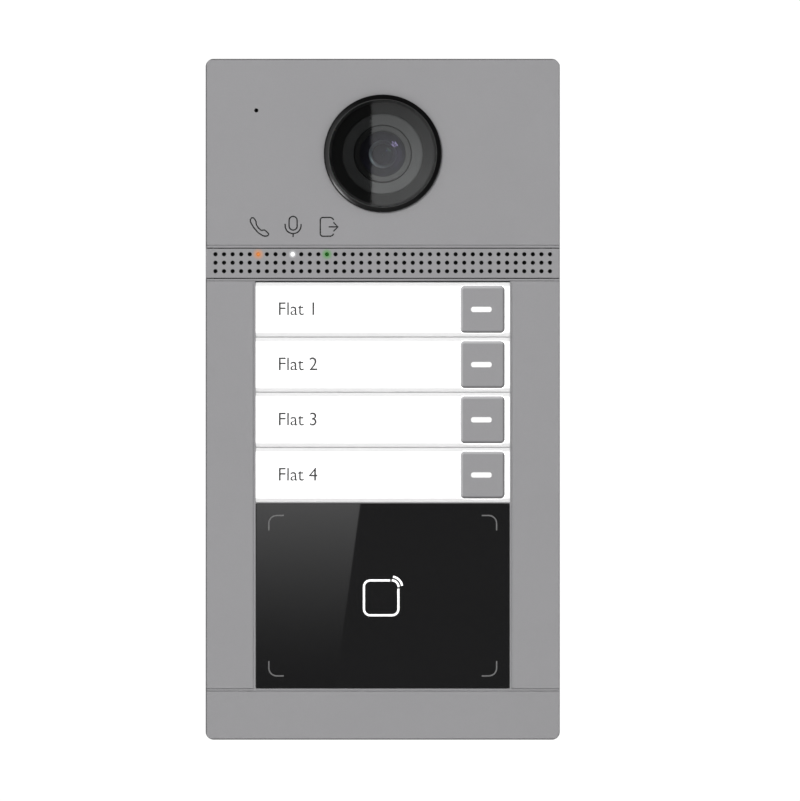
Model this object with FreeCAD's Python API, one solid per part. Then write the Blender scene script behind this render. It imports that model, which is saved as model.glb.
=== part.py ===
# Door intercom panel for a wall: a metal front with a camera, a speaker strip, four call buttons
# with name plates and a card reader, on a black rear shell that hooks over a steel wall plate.
# Frame in millimetres: X to the right, Z up, and Y into the wall. The origin is the centre of the
# wall plate's back face, so the whole panel lies at Y below 0 and its front looks along -Y.
import FreeCAD, Part
import math
import os

V = FreeCAD.Vector
ALONG_Y = V(0, 1, 0)
ALONG_Z = V(0, 0, 1)
PARTS_FOLDER = "parts"
MATCH = 1e-4            # how close two coordinates are when they count as the same
OVERRUN = 0.5           # how far a cutter runs past the face that it opens

# Front fascia
PANEL_WIDTH = 90.5
PANEL_HEIGHT = 174.0
CORNER_RADIUS = 2.0
EDGE_RADIUS = 0.5
FRONT = -30.0
FASCIA_BACK = -12.0     # back edge of the skirt
PLATE_THICKNESS = 2.8
PLATE_BACK = FRONT + PLATE_THICKNESS
SKIRT_WALL = 2.2
INNER_CORNER = 0.5
GROOVE_WIDTH = 0.26
GROOVE_DEPTH = 0.4
GROOVE_TOP_Z = 39.3
GROOVE_MIDDLE_Z = 30.2
GROOVE_BOTTOM_Z = -74.6
RAIL_END_Z = -74.0      # lower end of the two side rails
RAIL_INNER_X = 33.03    # groove along each rail's inner edge
RAIL_GROOVE_WIDTH = 0.2
RAIL_GROOVE_DEPTH = 0.3
OPENING_HALF_WIDTH = 32.55

# Speaker grille strip
GRILLE_LOW_Z = 31.03
GRILLE_HIGH_Z = 38.47
GRILLE_THICKNESS = 1.6
GRILLE_COLUMNS = 40
GRILLE_ROWS = 3
GRILLE_PITCH_X = 2.192
GRILLE_PITCH_Z = 2.165
GRILLE_TOP_ROW_Z = 37.05
GRILLE_HOLE_RADIUS = 0.54
SOUND_SLOT_HALF_WIDTH = 42.5
SOUND_SLOT_LOW_Z = 31.9
SOUND_SLOT_HIGH_Z = 37.9

# Camera
CAMERA_Z = 62.8
TRIM_OUTER_RADIUS = 15.05
TRIM_INNER_RADIUS = 13.7
TRIM_FLANGE_RADIUS = 16.6
TRIM_FRONT = -31.2
WINDOW_RADIUS = 13.6
WINDOW_FRONT = -30.3
WINDOW_BACK = -28.8
BAFFLE_FRONT = -28.3
BAFFLE_DISC_RADIUS = 10.3
BAFFLE_HOLE_RADIUS = 7.4
BARREL_RADIUS = 7.2
LENS_RADIUS = 5.75
PUPIL_RADIUS = 2.8
SENSOR_WIDTH = 9.0
SENSOR_HEIGHT = 7.5
BOARD_THICKNESS = 1.6
CAMERA_BOARD_FRONT = -14.0
CAMERA_BOARD_BACK = CAMERA_BOARD_FRONT + BOARD_THICKNESS
CAMERA_BOARD_SIZE = 30.0
CAMERA_SCREW_OFFSET = 12.0

# Microphone and status lights
MICROPHONE_X = -32.3
MICROPHONE_Z = 73.8
MICROPHONE_HOLE_RADIUS = 0.53
MICROPHONE_RADIUS = 2.2
MICROPHONE_SEAT = PLATE_BACK + 0.8
STATUS_COLUMNS = {"call": 5, "talk": 9, "unlock": 13}
STATUS_BOARD_BACK = -22.8
LAMP_THICKNESS = 0.7
LIGHT_POSTS = [(-33.0, 43.0), (-13.0, 43.0)]

# Speaker
SPEAKER_X = 14.0
SPEAKER_Z = 38.35
SPEAKER_WIDTH = 44.0
SPEAKER_HEIGHT = 13.3
SPEAKER_FRONT = -24.0
SPEAKER_WALL = 1.2
CONE_WIDTH = 36.0
CONE_HEIGHT = 8.2
CONE_FRONT = -23.2
CONE_BACK = -22.6
COIL_BACK_END = -18.6
COIL_RADIUS = 3.8
POT_FRONT = -20.5
POT_RADIUS = 6.0
POT_DEPTH = 5.0

# Name plates and call buttons
TILE_COUNT = 4
TILE_PITCH = 14.1
TILE_TOP_Z = 30.0
TILE_HEIGHT = 13.8
TILE_WIDTH = 65.0
TILE_FRONT = -29.7
BEVEL_WIDTH = 1.0
BEVEL_DEPTH = 0.25
BUTTON_X = 25.5
BUTTON_WIDTH = 11.4
BUTTON_HEIGHT = 12.0
BUTTON_CORNER = 1.1
BUTTON_FRONT = -30.3
BUTTON_EDGE = 0.6
BUTTON_GAP = 0.25       # clearance round a button
BUTTON_WALL = 1.5
BUTTON_FLANGE_WIDTH = 13.4
LIGHT_BAR_X = 25.2
LIGHT_BAR_WIDTH = 5.4
LIGHT_BAR_HEIGHT = 1.45
LIGHT_BAR_PROUD = 0.02

# Card reader
READER_WIDTH = 64.9
READER_LOW_Z = -73.9
READER_HIGH_Z = -26.55
READER_Z = (READER_LOW_Z + READER_HIGH_Z) / 2
READER_FRONT = -29.8
READER_CHAMFER = 0.2

# Tray and boards behind the front
TRAY_BACK = -24.2
ANTENNA_BACK = TRAY_BACK + 1.0
ANTENNA_WIDTH = 60.0
ANTENNA_HEIGHT = 42.0
COIL_BACK = ANTENNA_BACK + 0.15
TRAY_HALF_WIDTH = 34.0
TRAY_LOW_Z = -77.0
TRAY_HIGH_Z = 31.5
TRAY_SKIN = 1.0
WELL_X = -8.0
WELL_WIDTH = 38.0
WELL_HEIGHT = 9.2
TRAY_POSTS = [(-29.5, 25.5), (14.5, 25.5), (-29.5, -24.0), (14.5, -24.0)]
KEY_BOARD_FRONT = -19.6
MAIN_BOARD_FRONT = -15.6
KEY_BOARD_BACK = KEY_BOARD_FRONT + BOARD_THICKNESS
MAIN_BOARD_BACK = MAIN_BOARD_FRONT + BOARD_THICKNESS
MAIN_BOARD_HALF_WIDTH = 33.0
MAIN_BOARD_LOW_Z = -72.0
MAIN_BOARD_HIGH_Z = 22.0
MAIN_BOARD_POSTS = [(-29.5, 18.0), (29.5, 18.0), (-29.5, -69.5), (29.5, -69.5)]
SCREW_CLEARANCE = 0.25  # how much wider a board's screw hole is than the screw
MAIN_SCREW_RADIUS = 1.1
CAMERA_SCREW_RADIUS = 0.9
KEY_SCREW_RADIUS = 0.85

# Rear shell
SHELL_WIDTH = 86.0
SHELL_HEIGHT = 169.5
SHELL_CORNER = 1.6
SHELL_WALL = 1.8
SHELL_RIM = -25.4
SHELL_BACK = -1.5
SHELL_FLOOR = -3.5      # inner face of the shell's back wall
SHELL_TUBE_FRONT = -20.0
SHELL_SCREWS = [(-37.6, 79.3), (37.6, 79.3), (-37.6, 0.0), (37.6, 0.0), (-37.6, -79.3), (37.6, -79.3)]
BAY_HALF_WIDTH = 21.0
BAY_LOW_Z = -62.0
BAY_HIGH_Z = -4.0

# Wall plate
WALL_PLATE_WIDTH = 80.0
WALL_PLATE_HEIGHT = 163.0
WALL_PLATE_LOW_Z = -WALL_PLATE_HEIGHT / 2
WALL_PLATE_CORNER = 3.0
SHEET = 1.5             # thickness of the plate's steel
WALL_HOLE_X = 30.0
WALL_HOLE_Z = 60.0
WALL_HOLE_RADIUS = 2.25
WINDOW_HALF_WIDTH = 19.0
WINDOW_LOW_Z = -60.0
WINDOW_HIGH_Z = -6.0
HOOK_X = 24.0
HOOK_WIDTH = 8.0
HOOK_Z = 72.0
LOCK_FLANGE_WIDTH = 16.0
LOCK_SCREW_Y = -6.2

# Connectors and small switches at the back
JACK_LEFT = -17.0
JACK_RIGHT = -1.0
JACK_LOW_Z = -28.0
JACK_HIGH_Z = -12.0
TERMINAL_LEFT = 8.0
TERMINAL_RIGHT = 17.2
TERMINAL_BACK = -4.0
TERMINAL_POLES = 8
TERMINAL_PITCH = 3.81
TERMINAL_Z = -35.0
RESET_X = -14.0
RESET_Z = -45.0
TAMPER_X = 29.0
TAMPER_Z = -45.0
TAMPER_RADIUS = 1.6
TAMPER_SWITCH_BACK = -10.3
TAMPER_FLANGE_FRONT = -5.3


def block(x0, x1, y0, y1, z0, z1):
    """A box between two corners."""
    return Part.makeBox(x1 - x0, y1 - y0, z1 - z0, V(x0, y0, z0))


def is_along_y(edge):
    """Whether an edge runs straight along Y."""
    first, last = edge.Vertexes[0], edge.Vertexes[-1]
    same_place = abs(first.X - last.X) < MATCH and abs(first.Z - last.Z) < MATCH
    return same_place and abs(first.Y - last.Y) > MATCH


def lies_at_y(edge, y):
    """Whether an edge lies in the plane at one Y."""
    return all(abs(vertex.Y - y) < MATCH for vertex in edge.Vertexes)


def slab(width, height, y0, y1, cx=0.0, cz=0.0, radius=0.0):
    """A plate facing along Y, centred on cx and cz, with its corners rounded."""
    plate = block(cx - width / 2, cx + width / 2, y0, y1, cz - height / 2, cz + height / 2)
    if radius:
        plate = plate.makeFillet(radius, [edge for edge in plate.Edges if is_along_y(edge)])
    return plate


def soften(shape, y, radius):
    """Round the outline of a shape's face at one Y."""
    return shape.makeFillet(radius, [edge for edge in shape.Edges if lies_at_y(edge, y)])


def disc(radius, y0, y1, cx=0.0, cz=0.0):
    """A round bar along Y."""
    return Part.makeCylinder(radius, y1 - y0, V(cx, y0, cz), ALONG_Y)


def upright(radius, z0, z1):
    """A round bar along Z on the axis of the lock screw."""
    return Part.makeCylinder(radius, z1 - z0, V(0, LOCK_SCREW_Y, z0), ALONG_Z)


def ring(outer, inner, y0, y1, cx=0.0, cz=0.0):
    """A round washer or tube along Y."""
    return disc(outer, y0, y1, cx, cz).cut(disc(inner, y0 - OVERRUN, y1 + OVERRUN, cx, cz))


def stadium(width, height, y0, y1, cx=0.0, cz=0.0):
    """A plate facing along Y whose two ends are half circles."""
    radius = height / 2
    reach = width / 2 - radius
    low, high = cz - radius, cz + radius
    left_arc = Part.Arc(V(cx - reach, y0, low), V(cx - width / 2, y0, cz), V(cx - reach, y0, high))
    right_arc = Part.Arc(V(cx + reach, y0, high), V(cx + width / 2, y0, cz), V(cx + reach, y0, low))
    top = Part.LineSegment(V(cx - reach, y0, cz + radius), V(cx + reach, y0, cz + radius))
    bottom = Part.LineSegment(V(cx + reach, y0, cz - radius), V(cx - reach, y0, cz - radius))
    outline = Part.Wire([left_arc.toShape(), top.toShape(), right_arc.toShape(), bottom.toShape()])
    return Part.Face(outline).extrude(V(0, y1 - y0, 0))


def turned(profile, cx=0.0, cz=0.0):
    """A turned solid about an axis along Y, from a closed profile of (radius, y) points."""
    corners = [V(cx + radius, y, cz) for radius, y in profile]
    face = Part.Face(Part.makePolygon(corners + corners[:1]))
    return face.revolve(V(cx, 0, cz), ALONG_Y, 360)


def joined(shapes):
    """One solid out of several that touch or overlap."""
    return shapes[0].multiFuse(shapes[1:]).removeSplitter()


def without(shape, cutters):
    """A shape with several others cut out of it."""
    return shape.cut(cutters)


def tile_centre(index):
    """Height of the middle of a name plate, counted from the top."""
    return TILE_TOP_Z - TILE_PITCH * (index + 0.5)


def grille_column(index):
    """X of one column of grille holes."""
    return GRILLE_PITCH_X * (index - (GRILLE_COLUMNS - 1) / 2)


def front_groove(x0, x1, z):
    """Cutter for a narrow groove across the fascia."""
    half = GROOVE_WIDTH / 2
    return block(x0, x1, FRONT - OVERRUN, FRONT + GROOVE_DEPTH, z - half, z + half)


def fascia_grooves():
    """Cutters for every groove that divides the fascia's face."""
    side = PANEL_WIDTH / 2 + OVERRUN
    grooves = [front_groove(-side, side, z) for z in (GROOVE_TOP_Z, GROOVE_MIDDLE_Z, GROOVE_BOTTOM_Z)]
    grooves.append(front_groove(-side, -RAIL_INNER_X, RAIL_END_Z))
    grooves.append(front_groove(RAIL_INNER_X, side, RAIL_END_Z))
    half = RAIL_GROOVE_WIDTH / 2
    for x in (-RAIL_INNER_X, RAIL_INNER_X):
        grooves.append(block(x - half, x + half, FRONT - OVERRUN, FRONT + RAIL_GROOVE_DEPTH,
                             RAIL_END_Z, GROOVE_MIDDLE_Z))
    return grooves


def front_fascia():
    """Die-cast front with its skirt, screw bosses and openings."""
    boss_radius = 3.3
    boss_back = -20.1
    pilot_radius = 1.55
    pilot_depth = 6.1
    light_post_radius = 1.8
    trim_gap = 0.05
    body = slab(PANEL_WIDTH, PANEL_HEIGHT, FRONT, FASCIA_BACK, radius=CORNER_RADIUS)
    body = soften(body, FRONT, EDGE_RADIUS)
    hollow = slab(PANEL_WIDTH - 2 * SKIRT_WALL, PANEL_HEIGHT - 2 * SKIRT_WALL, PLATE_BACK,
                  FASCIA_BACK + OVERRUN, radius=INNER_CORNER)
    bosses = [disc(boss_radius, PLATE_BACK, boss_back, x, z) for x, z in SHELL_SCREWS]
    light_posts = [disc(light_post_radius, PLATE_BACK, SPEAKER_FRONT, x, z) for x, z in LIGHT_POSTS]
    body = joined([body.cut(hollow)] + bosses + light_posts)
    before, behind = FRONT - OVERRUN, PLATE_BACK + OVERRUN
    side = PANEL_WIDTH / 2 + OVERRUN
    cutters = fascia_grooves()
    cutters.append(disc(TRIM_OUTER_RADIUS + trim_gap, before, behind, 0.0, CAMERA_Z))
    cutters.append(disc(MICROPHONE_HOLE_RADIUS, before, behind, MICROPHONE_X, MICROPHONE_Z))
    cutters.append(block(-side, side, before, FRONT + GRILLE_THICKNESS,
                         GRILLE_LOW_Z - GROOVE_WIDTH, GRILLE_HIGH_Z + GROOVE_WIDTH))
    cutters.append(block(-SOUND_SLOT_HALF_WIDTH, SOUND_SLOT_HALF_WIDTH, before, behind,
                         SOUND_SLOT_LOW_Z, SOUND_SLOT_HIGH_Z))
    cutters.append(block(-OPENING_HALF_WIDTH, OPENING_HALF_WIDTH, before, behind,
                         RAIL_END_Z, GROOVE_MIDDLE_Z))
    cutters += [disc(pilot_radius, boss_back - pilot_depth, boss_back + OVERRUN, x, z)
                for x, z in SHELL_SCREWS]
    return without(body, cutters)


def speaker_grille():
    """Perforated strip across the whole front."""
    strip = block(-PANEL_WIDTH / 2, PANEL_WIDTH / 2, FRONT, FRONT + GRILLE_THICKNESS,
                  GRILLE_LOW_Z, GRILLE_HIGH_Z)
    ends = [edge for edge in strip.Edges if lies_at_y(edge, FRONT) and abs(edge.BoundBox.XLength) < MATCH]
    strip = strip.makeFillet(EDGE_RADIUS, ends)
    holes = []
    for column in range(GRILLE_COLUMNS):
        for row in range(GRILLE_ROWS):
            z = GRILLE_TOP_ROW_Z - row * GRILLE_PITCH_Z
            holes.append(disc(GRILLE_HOLE_RADIUS, FRONT - OVERRUN, FRONT + GRILLE_THICKNESS + OVERRUN,
                              grille_column(column), z))
    return without(strip, holes)


def grille_mesh():
    """Fine dust mesh behind the strip, with a hole for each light pipe."""
    gap = 0.1
    hole_radius = 0.65
    front = FRONT + GRILLE_THICKNESS
    back = front + 0.3
    half_width = SOUND_SLOT_HALF_WIDTH - gap
    sheet = block(-half_width, half_width, front, back, SOUND_SLOT_LOW_Z + gap, SOUND_SLOT_HIGH_Z - gap)
    holes = [disc(hole_radius, front - OVERRUN, back + OVERRUN, grille_column(column), GRILLE_TOP_ROW_Z)
             for column in STATUS_COLUMNS.values()]
    return without(sheet, holes)


def camera_trim_ring():
    """Black ring round the camera, with a flange behind the fascia."""
    bevel = 0.45
    flange_back = PLATE_BACK + 0.8
    return turned([
        (TRIM_INNER_RADIUS, TRIM_FRONT + bevel),
        (TRIM_INNER_RADIUS + bevel, TRIM_FRONT),
        (TRIM_OUTER_RADIUS - bevel, TRIM_FRONT),
        (TRIM_OUTER_RADIUS, TRIM_FRONT + bevel),
        (TRIM_OUTER_RADIUS, PLATE_BACK),
        (TRIM_FLANGE_RADIUS, PLATE_BACK),
        (TRIM_FLANGE_RADIUS, flange_back),
        (TRIM_INNER_RADIUS, flange_back),
    ], cz=CAMERA_Z)


def camera_window():
    """Flat clear window in the trim ring."""
    return disc(WINDOW_RADIUS, WINDOW_FRONT, WINDOW_BACK, 0.0, CAMERA_Z)


def camera_window_seal():
    """Thin seal between the window and the baffle's rim."""
    band = 0.5
    return ring(WINDOW_RADIUS, WINDOW_RADIUS - band, WINDOW_BACK, BAFFLE_FRONT, 0.0, CAMERA_Z)


def camera_baffle():
    """Black funnel that leads from the window's rim down to the lens."""
    rim = 0.7
    step_front = -25.9
    disc_front = -25.2
    back = -24.2
    return turned([
        (WINDOW_RADIUS - rim, BAFFLE_FRONT),
        (WINDOW_RADIUS, BAFFLE_FRONT),
        (WINDOW_RADIUS, back),
        (BAFFLE_HOLE_RADIUS, back),
        (BAFFLE_HOLE_RADIUS, disc_front),
        (BAFFLE_DISC_RADIUS, disc_front),
        (BAFFLE_DISC_RADIUS, step_front),
    ], cz=CAMERA_Z)


def lens_barrel():
    """Lens tube on a square holder that stands on the camera board."""
    front = -26.6
    cone_front = -23.2
    cone_back = -21.0
    holder_front = -19.0
    holder_width = 15.0
    roof = 1.4
    chamfer = 0.4
    lens_bore = LENS_RADIUS + 0.15
    light_bore = PUPIL_RADIUS + 0.2
    tube = turned([
        (lens_bore, front + chamfer),
        (lens_bore + chamfer, front),
        (BARREL_RADIUS - chamfer, front),
        (BARREL_RADIUS, front + chamfer),
        (BARREL_RADIUS, holder_front),
        (light_bore, holder_front),
        (light_bore, cone_back),
        (lens_bore, cone_front),
    ], cz=CAMERA_Z)
    holder = slab(holder_width, holder_width, holder_front, CAMERA_BOARD_FRONT, 0.0, CAMERA_Z)
    sensor_room = slab(SENSOR_WIDTH + 2.0, SENSOR_HEIGHT + 2.0, holder_front + roof,
                       CAMERA_BOARD_FRONT + OVERRUN, 0.0, CAMERA_Z)
    light_path = disc(light_bore, holder_front - OVERRUN, holder_front + roof + OVERRUN, 0.0, CAMERA_Z)
    return without(joined([tube, holder]), [sensor_room, light_path])


def domed_lens(radius, rise, apex, back):
    """A lens with a domed front and a flat back."""
    sphere_radius = (radius ** 2 + rise ** 2) / (2 * rise)
    ball = Part.makeSphere(sphere_radius, V(0, apex + sphere_radius, CAMERA_Z))
    return disc(radius, apex - OVERRUN, back, 0.0, CAMERA_Z).common(ball)


def lens_front_element():
    """Domed front glass of the lens."""
    return domed_lens(LENS_RADIUS, rise=1.3, apex=-27.0, back=-24.9)


def lens_inner_element():
    """Smaller glass deep in the barrel."""
    return domed_lens(PUPIL_RADIUS + 0.1, rise=0.7, apex=-22.2, back=-20.4)


def image_sensor():
    """Sensor chip on the camera board."""
    thickness = 1.2
    return slab(SENSOR_WIDTH, SENSOR_HEIGHT, CAMERA_BOARD_FRONT - thickness, CAMERA_BOARD_FRONT,
                0.0, CAMERA_Z)


def screw_holes(places, screw_radius, front):
    """Cutters for a board's screw holes."""
    radius = screw_radius + SCREW_CLEARANCE
    return [disc(radius, front - OVERRUN, front + BOARD_THICKNESS + OVERRUN, x, z) for x, z in places]


def camera_screw_places():
    """Centres of the four screws that hold the camera board."""
    offset = CAMERA_SCREW_OFFSET
    return [(x, CAMERA_Z + z) for x in (-offset, offset) for z in (-offset, offset)]


def camera_board():
    """Square board behind the lens."""
    corner = 1.5
    board = slab(CAMERA_BOARD_SIZE, CAMERA_BOARD_SIZE, CAMERA_BOARD_FRONT, CAMERA_BOARD_BACK, 0.0, CAMERA_Z,
                 corner)
    return without(board, screw_holes(camera_screw_places(), CAMERA_SCREW_RADIUS, CAMERA_BOARD_FRONT))


def microphone():
    """Round microphone capsule."""
    back = -23.9
    return disc(MICROPHONE_RADIUS, MICROPHONE_SEAT, back, MICROPHONE_X, MICROPHONE_Z)


def microphone_boot():
    """Rubber cup that holds the capsule against the fascia."""
    wall = 1.0
    back = -23.4
    inlet_radius = 0.8
    cup = disc(MICROPHONE_RADIUS + wall, PLATE_BACK, back, MICROPHONE_X, MICROPHONE_Z)
    seat = disc(MICROPHONE_RADIUS, MICROPHONE_SEAT, back + OVERRUN, MICROPHONE_X, MICROPHONE_Z)
    inlet = disc(inlet_radius, PLATE_BACK - OVERRUN, MICROPHONE_SEAT + OVERRUN, MICROPHONE_X, MICROPHONE_Z)
    return without(cup, [seat, inlet])


def status_light(column):
    """Light pipe that fills one hole of the grille and widens at the back."""
    gap = 0.04
    step = -28.0
    foot_back = -24.8
    x = grille_column(column)
    neck = disc(GRILLE_HOLE_RADIUS - gap, FRONT + gap, step, x, GRILLE_TOP_ROW_Z)
    foot = disc(GRILLE_HOLE_RADIUS + gap, step, foot_back, x, GRILLE_TOP_ROW_Z)
    return joined([neck, foot])


def status_board():
    """Narrow board that carries the status lights."""
    hole_radius = 0.9
    board = block(-36.0, -10.0, SPEAKER_FRONT, STATUS_BOARD_BACK, 33.5, 45.0)
    holes = [disc(hole_radius, SPEAKER_FRONT - OVERRUN, STATUS_BOARD_BACK + OVERRUN, x, z)
             for x, z in LIGHT_POSTS]
    return without(board, holes)


def status_leds():
    """The three small lamps behind the light pipes."""
    width = 1.6
    height = 1.2
    front = SPEAKER_FRONT - LAMP_THICKNESS
    return Part.makeCompound([slab(width, height, front, SPEAKER_FRONT, grille_column(column),
                                   GRILLE_TOP_ROW_Z)
                              for column in STATUS_COLUMNS.values()])


def speaker_oval(margin, y0, y1):
    """An oval plate that follows the speaker's outline at a distance inside it."""
    return stadium(SPEAKER_WIDTH - 2 * margin, SPEAKER_HEIGHT - 2 * margin, y0, y1, SPEAKER_X, SPEAKER_Z)


def speaker_disc(radius, y0, y1, offset_x=0.0):
    """A round bar through the speaker, offset along its length."""
    return disc(radius, y0, y1, SPEAKER_X + offset_x, SPEAKER_Z)


def speaker_basket():
    """Frame of the oval speaker, with four vents in its back."""
    wall = 1.0
    pot_gap = 0.05
    vent_radius = 1.6
    back = POT_FRONT + wall
    cutters = [speaker_oval(wall, SPEAKER_FRONT - OVERRUN, POT_FRONT)]
    cutters.append(speaker_disc(POT_RADIUS + pot_gap, POT_FRONT - OVERRUN, back + OVERRUN))
    cutters += [speaker_disc(vent_radius, POT_FRONT - OVERRUN, back + OVERRUN, x) for x in (-15, -10, 10, 15)]
    return without(speaker_oval(0.0, SPEAKER_FRONT, back), cutters)


def speaker_magnet():
    """Magnet pot with the ring-shaped gap for the voice coil."""
    gap_depth = 3.0
    outer = COIL_RADIUS + 0.4
    inner = COIL_RADIUS - 0.8
    gap = ring(outer, inner, POT_FRONT - OVERRUN, POT_FRONT + gap_depth, SPEAKER_X, SPEAKER_Z)
    return speaker_disc(POT_RADIUS, POT_FRONT, POT_FRONT + POT_DEPTH).cut(gap)


def speaker_cone():
    """Oval diaphragm with a shallow dish and its voice coil tube."""
    rim = 2.0
    dish_depth = 0.25
    tube_wall = 0.4
    sheet = stadium(CONE_WIDTH, CONE_HEIGHT, CONE_FRONT, CONE_BACK, SPEAKER_X, SPEAKER_Z)
    dish = stadium(CONE_WIDTH - 2 * rim, CONE_HEIGHT - 2 * rim, CONE_FRONT - OVERRUN, CONE_FRONT + dish_depth,
                   SPEAKER_X, SPEAKER_Z)
    coil_tube = ring(COIL_RADIUS, COIL_RADIUS - tube_wall, CONE_BACK, COIL_BACK_END, SPEAKER_X, SPEAKER_Z)
    return joined([sheet.cut(dish), coil_tube])


def speaker_surround():
    """Soft ring between the cone and the basket."""
    gap = 0.2
    front = CONE_FRONT - 0.1
    back = CONE_FRONT + 0.3
    hole = stadium(CONE_WIDTH + 2 * gap, CONE_HEIGHT + 2 * gap, front - OVERRUN, back + OVERRUN,
                   SPEAKER_X, SPEAKER_Z)
    return speaker_oval(SPEAKER_WALL, front, back).cut(hole)


def speaker_gasket():
    """Foam ring that seals the speaker against the fascia."""
    hole = speaker_oval(SPEAKER_WALL, PLATE_BACK - OVERRUN, SPEAKER_FRONT + OVERRUN)
    return speaker_oval(0.0, PLATE_BACK, SPEAKER_FRONT).cut(hole)


def button_hole(y0, y1, z):
    """Cutter for the clearance hole round a call button."""
    return slab(BUTTON_WIDTH + 2 * BUTTON_GAP, BUTTON_HEIGHT + 2 * BUTTON_GAP, y0, y1, BUTTON_X, z,
                BUTTON_CORNER + BUTTON_GAP)


def name_plate(index):
    """Opal plate with bevelled long edges and a hole for its button."""
    z = tile_centre(index)
    half = TILE_HEIGHT / 2
    inner = half - BEVEL_WIDTH
    bevel_y = TILE_FRONT + BEVEL_DEPTH
    corners = [(PLATE_BACK, z - half), (bevel_y, z - half), (TILE_FRONT, z - inner),
               (TILE_FRONT, z + inner), (bevel_y, z + half), (PLATE_BACK, z + half)]
    points = [V(-TILE_WIDTH / 2, y, height) for y, height in corners]
    plate = Part.Face(Part.makePolygon(points + points[:1])).extrude(V(TILE_WIDTH, 0, 0))
    return plate.cut(button_hole(TILE_FRONT - OVERRUN, PLATE_BACK + OVERRUN, z))


def call_button(index):
    """Hollow button cap with side flanges that keep it behind the tray's skin."""
    z = tile_centre(index)
    cap_back = -25.2
    side_wall = 1.2
    rest_gap = 0.05
    wall_back = BUTTON_FRONT + BUTTON_WALL
    cap = slab(BUTTON_WIDTH, BUTTON_HEIGHT, BUTTON_FRONT, cap_back, BUTTON_X, z, BUTTON_CORNER)
    cap = soften(cap, BUTTON_FRONT, BUTTON_EDGE)
    flange = slab(BUTTON_FLANGE_WIDTH, BUTTON_HEIGHT, PLATE_BACK + TRAY_SKIN + rest_gap, cap_back,
                  BUTTON_X, z, BUTTON_CORNER)
    hollow = slab(BUTTON_WIDTH - 2 * side_wall, BUTTON_HEIGHT - 2 * side_wall, wall_back, cap_back + OVERRUN,
                  BUTTON_X, z)
    slot = stadium(LIGHT_BAR_WIDTH, LIGHT_BAR_HEIGHT, BUTTON_FRONT - OVERRUN, wall_back + OVERRUN,
                   LIGHT_BAR_X, z)
    return without(joined([cap, flange]), [hollow, slot])


def button_light_bar(index):
    """Clear bar in the button's face, whose boss presses the rubber dome."""
    z = tile_centre(index)
    body_width = 7.0
    body_height = 4.0
    body_front = BUTTON_FRONT + BUTTON_WALL
    body_back = -25.3
    boss_radius = 2.3
    boss_back = -23.5
    bar = stadium(LIGHT_BAR_WIDTH, LIGHT_BAR_HEIGHT, BUTTON_FRONT - LIGHT_BAR_PROUD, body_front,
                  LIGHT_BAR_X, z)
    body = slab(body_width, body_height, body_front, body_back, BUTTON_X, z)
    boss = disc(boss_radius, body_back, boss_back, BUTTON_X, z)
    return joined([bar, body, boss])


def keypad_mat():
    """Silicone mat with one hollow dome behind each button."""
    sheet_thickness = 1.0
    dome_height = 2.8
    foot_radius = 4.6
    crown_radius = 2.6
    skin = 0.8
    toward_button = V(0, -1, 0)
    inner_height = dome_height + sheet_thickness - skin
    front = KEY_BOARD_FRONT - sheet_thickness
    sheet = block(18.5, 32.5, front, KEY_BOARD_FRONT, -26.0, 28.0)
    domes = []
    hollows = []
    for index in range(TILE_COUNT):
        z = tile_centre(index)
        foot = V(BUTTON_X, front, z)
        inner_foot = V(BUTTON_X, KEY_BOARD_FRONT, z)
        domes.append(Part.makeCone(foot_radius, crown_radius, dome_height, foot, toward_button))
        hollows.append(Part.makeCone(foot_radius - skin, crown_radius - skin, inner_height, inner_foot,
                                     toward_button))
    return without(joined([sheet] + domes), hollows)


def label_tray():
    """Opal tray behind the name plates and the reader, with wells that spread the light."""
    middle_z = (TRAY_LOW_Z + TRAY_HIGH_Z) / 2
    well_front = PLATE_BACK + TRAY_SKIN
    well_back = TRAY_BACK + OVERRUN
    pocket_width = BUTTON_FLANGE_WIDTH + 2 * BUTTON_GAP
    pocket_height = BUTTON_HEIGHT + 2 * BUTTON_GAP
    corner = 1.0
    post_radius = 2.2
    pilot_radius = KEY_SCREW_RADIUS + 0.05
    tray = slab(2 * TRAY_HALF_WIDTH, TRAY_HIGH_Z - TRAY_LOW_Z, PLATE_BACK, TRAY_BACK, 0.0, middle_z, corner)
    posts = [disc(post_radius, TRAY_BACK, KEY_BOARD_FRONT, x, z) for x, z in TRAY_POSTS]
    cutters = [disc(pilot_radius, TRAY_BACK, KEY_BOARD_FRONT + OVERRUN, x, z) for x, z in TRAY_POSTS]
    for index in range(TILE_COUNT):
        z = tile_centre(index)
        cutters.append(button_hole(PLATE_BACK - OVERRUN, well_back, z))
        cutters.append(slab(pocket_width, pocket_height, well_front, well_back, BUTTON_X, z))
        cutters.append(slab(WELL_WIDTH, WELL_HEIGHT, well_front, well_back, WELL_X, z))
    return without(joined([tray] + posts), cutters)


def key_board():
    """Board behind the buttons."""
    board = block(-32.5, 33.0, KEY_BOARD_FRONT, KEY_BOARD_BACK, -26.5, 28.5)
    return without(board, screw_holes(TRAY_POSTS, KEY_SCREW_RADIUS, KEY_BOARD_FRONT))


def backlight_leds():
    """Lamps on the key board that light the name plates from behind."""
    width = 3.0
    height = 1.4
    spread = 14.0
    front = KEY_BOARD_FRONT - LAMP_THICKNESS
    lamps = []
    for index in range(TILE_COUNT):
        for x in (WELL_X - spread, WELL_X, WELL_X + spread):
            lamps.append(slab(width, height, front, KEY_BOARD_FRONT, x, tile_centre(index)))
    return Part.makeCompound(lamps)


def reader_window():
    """Black cover of the card reader."""
    corner = 0.3
    height = READER_HIGH_Z - READER_LOW_Z
    cover = slab(READER_WIDTH, height, READER_FRONT, PLATE_BACK, 0.0, READER_Z, corner)
    return cover.makeChamfer(READER_CHAMFER, [edge for edge in cover.Edges if lies_at_y(edge, READER_FRONT)])


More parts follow.
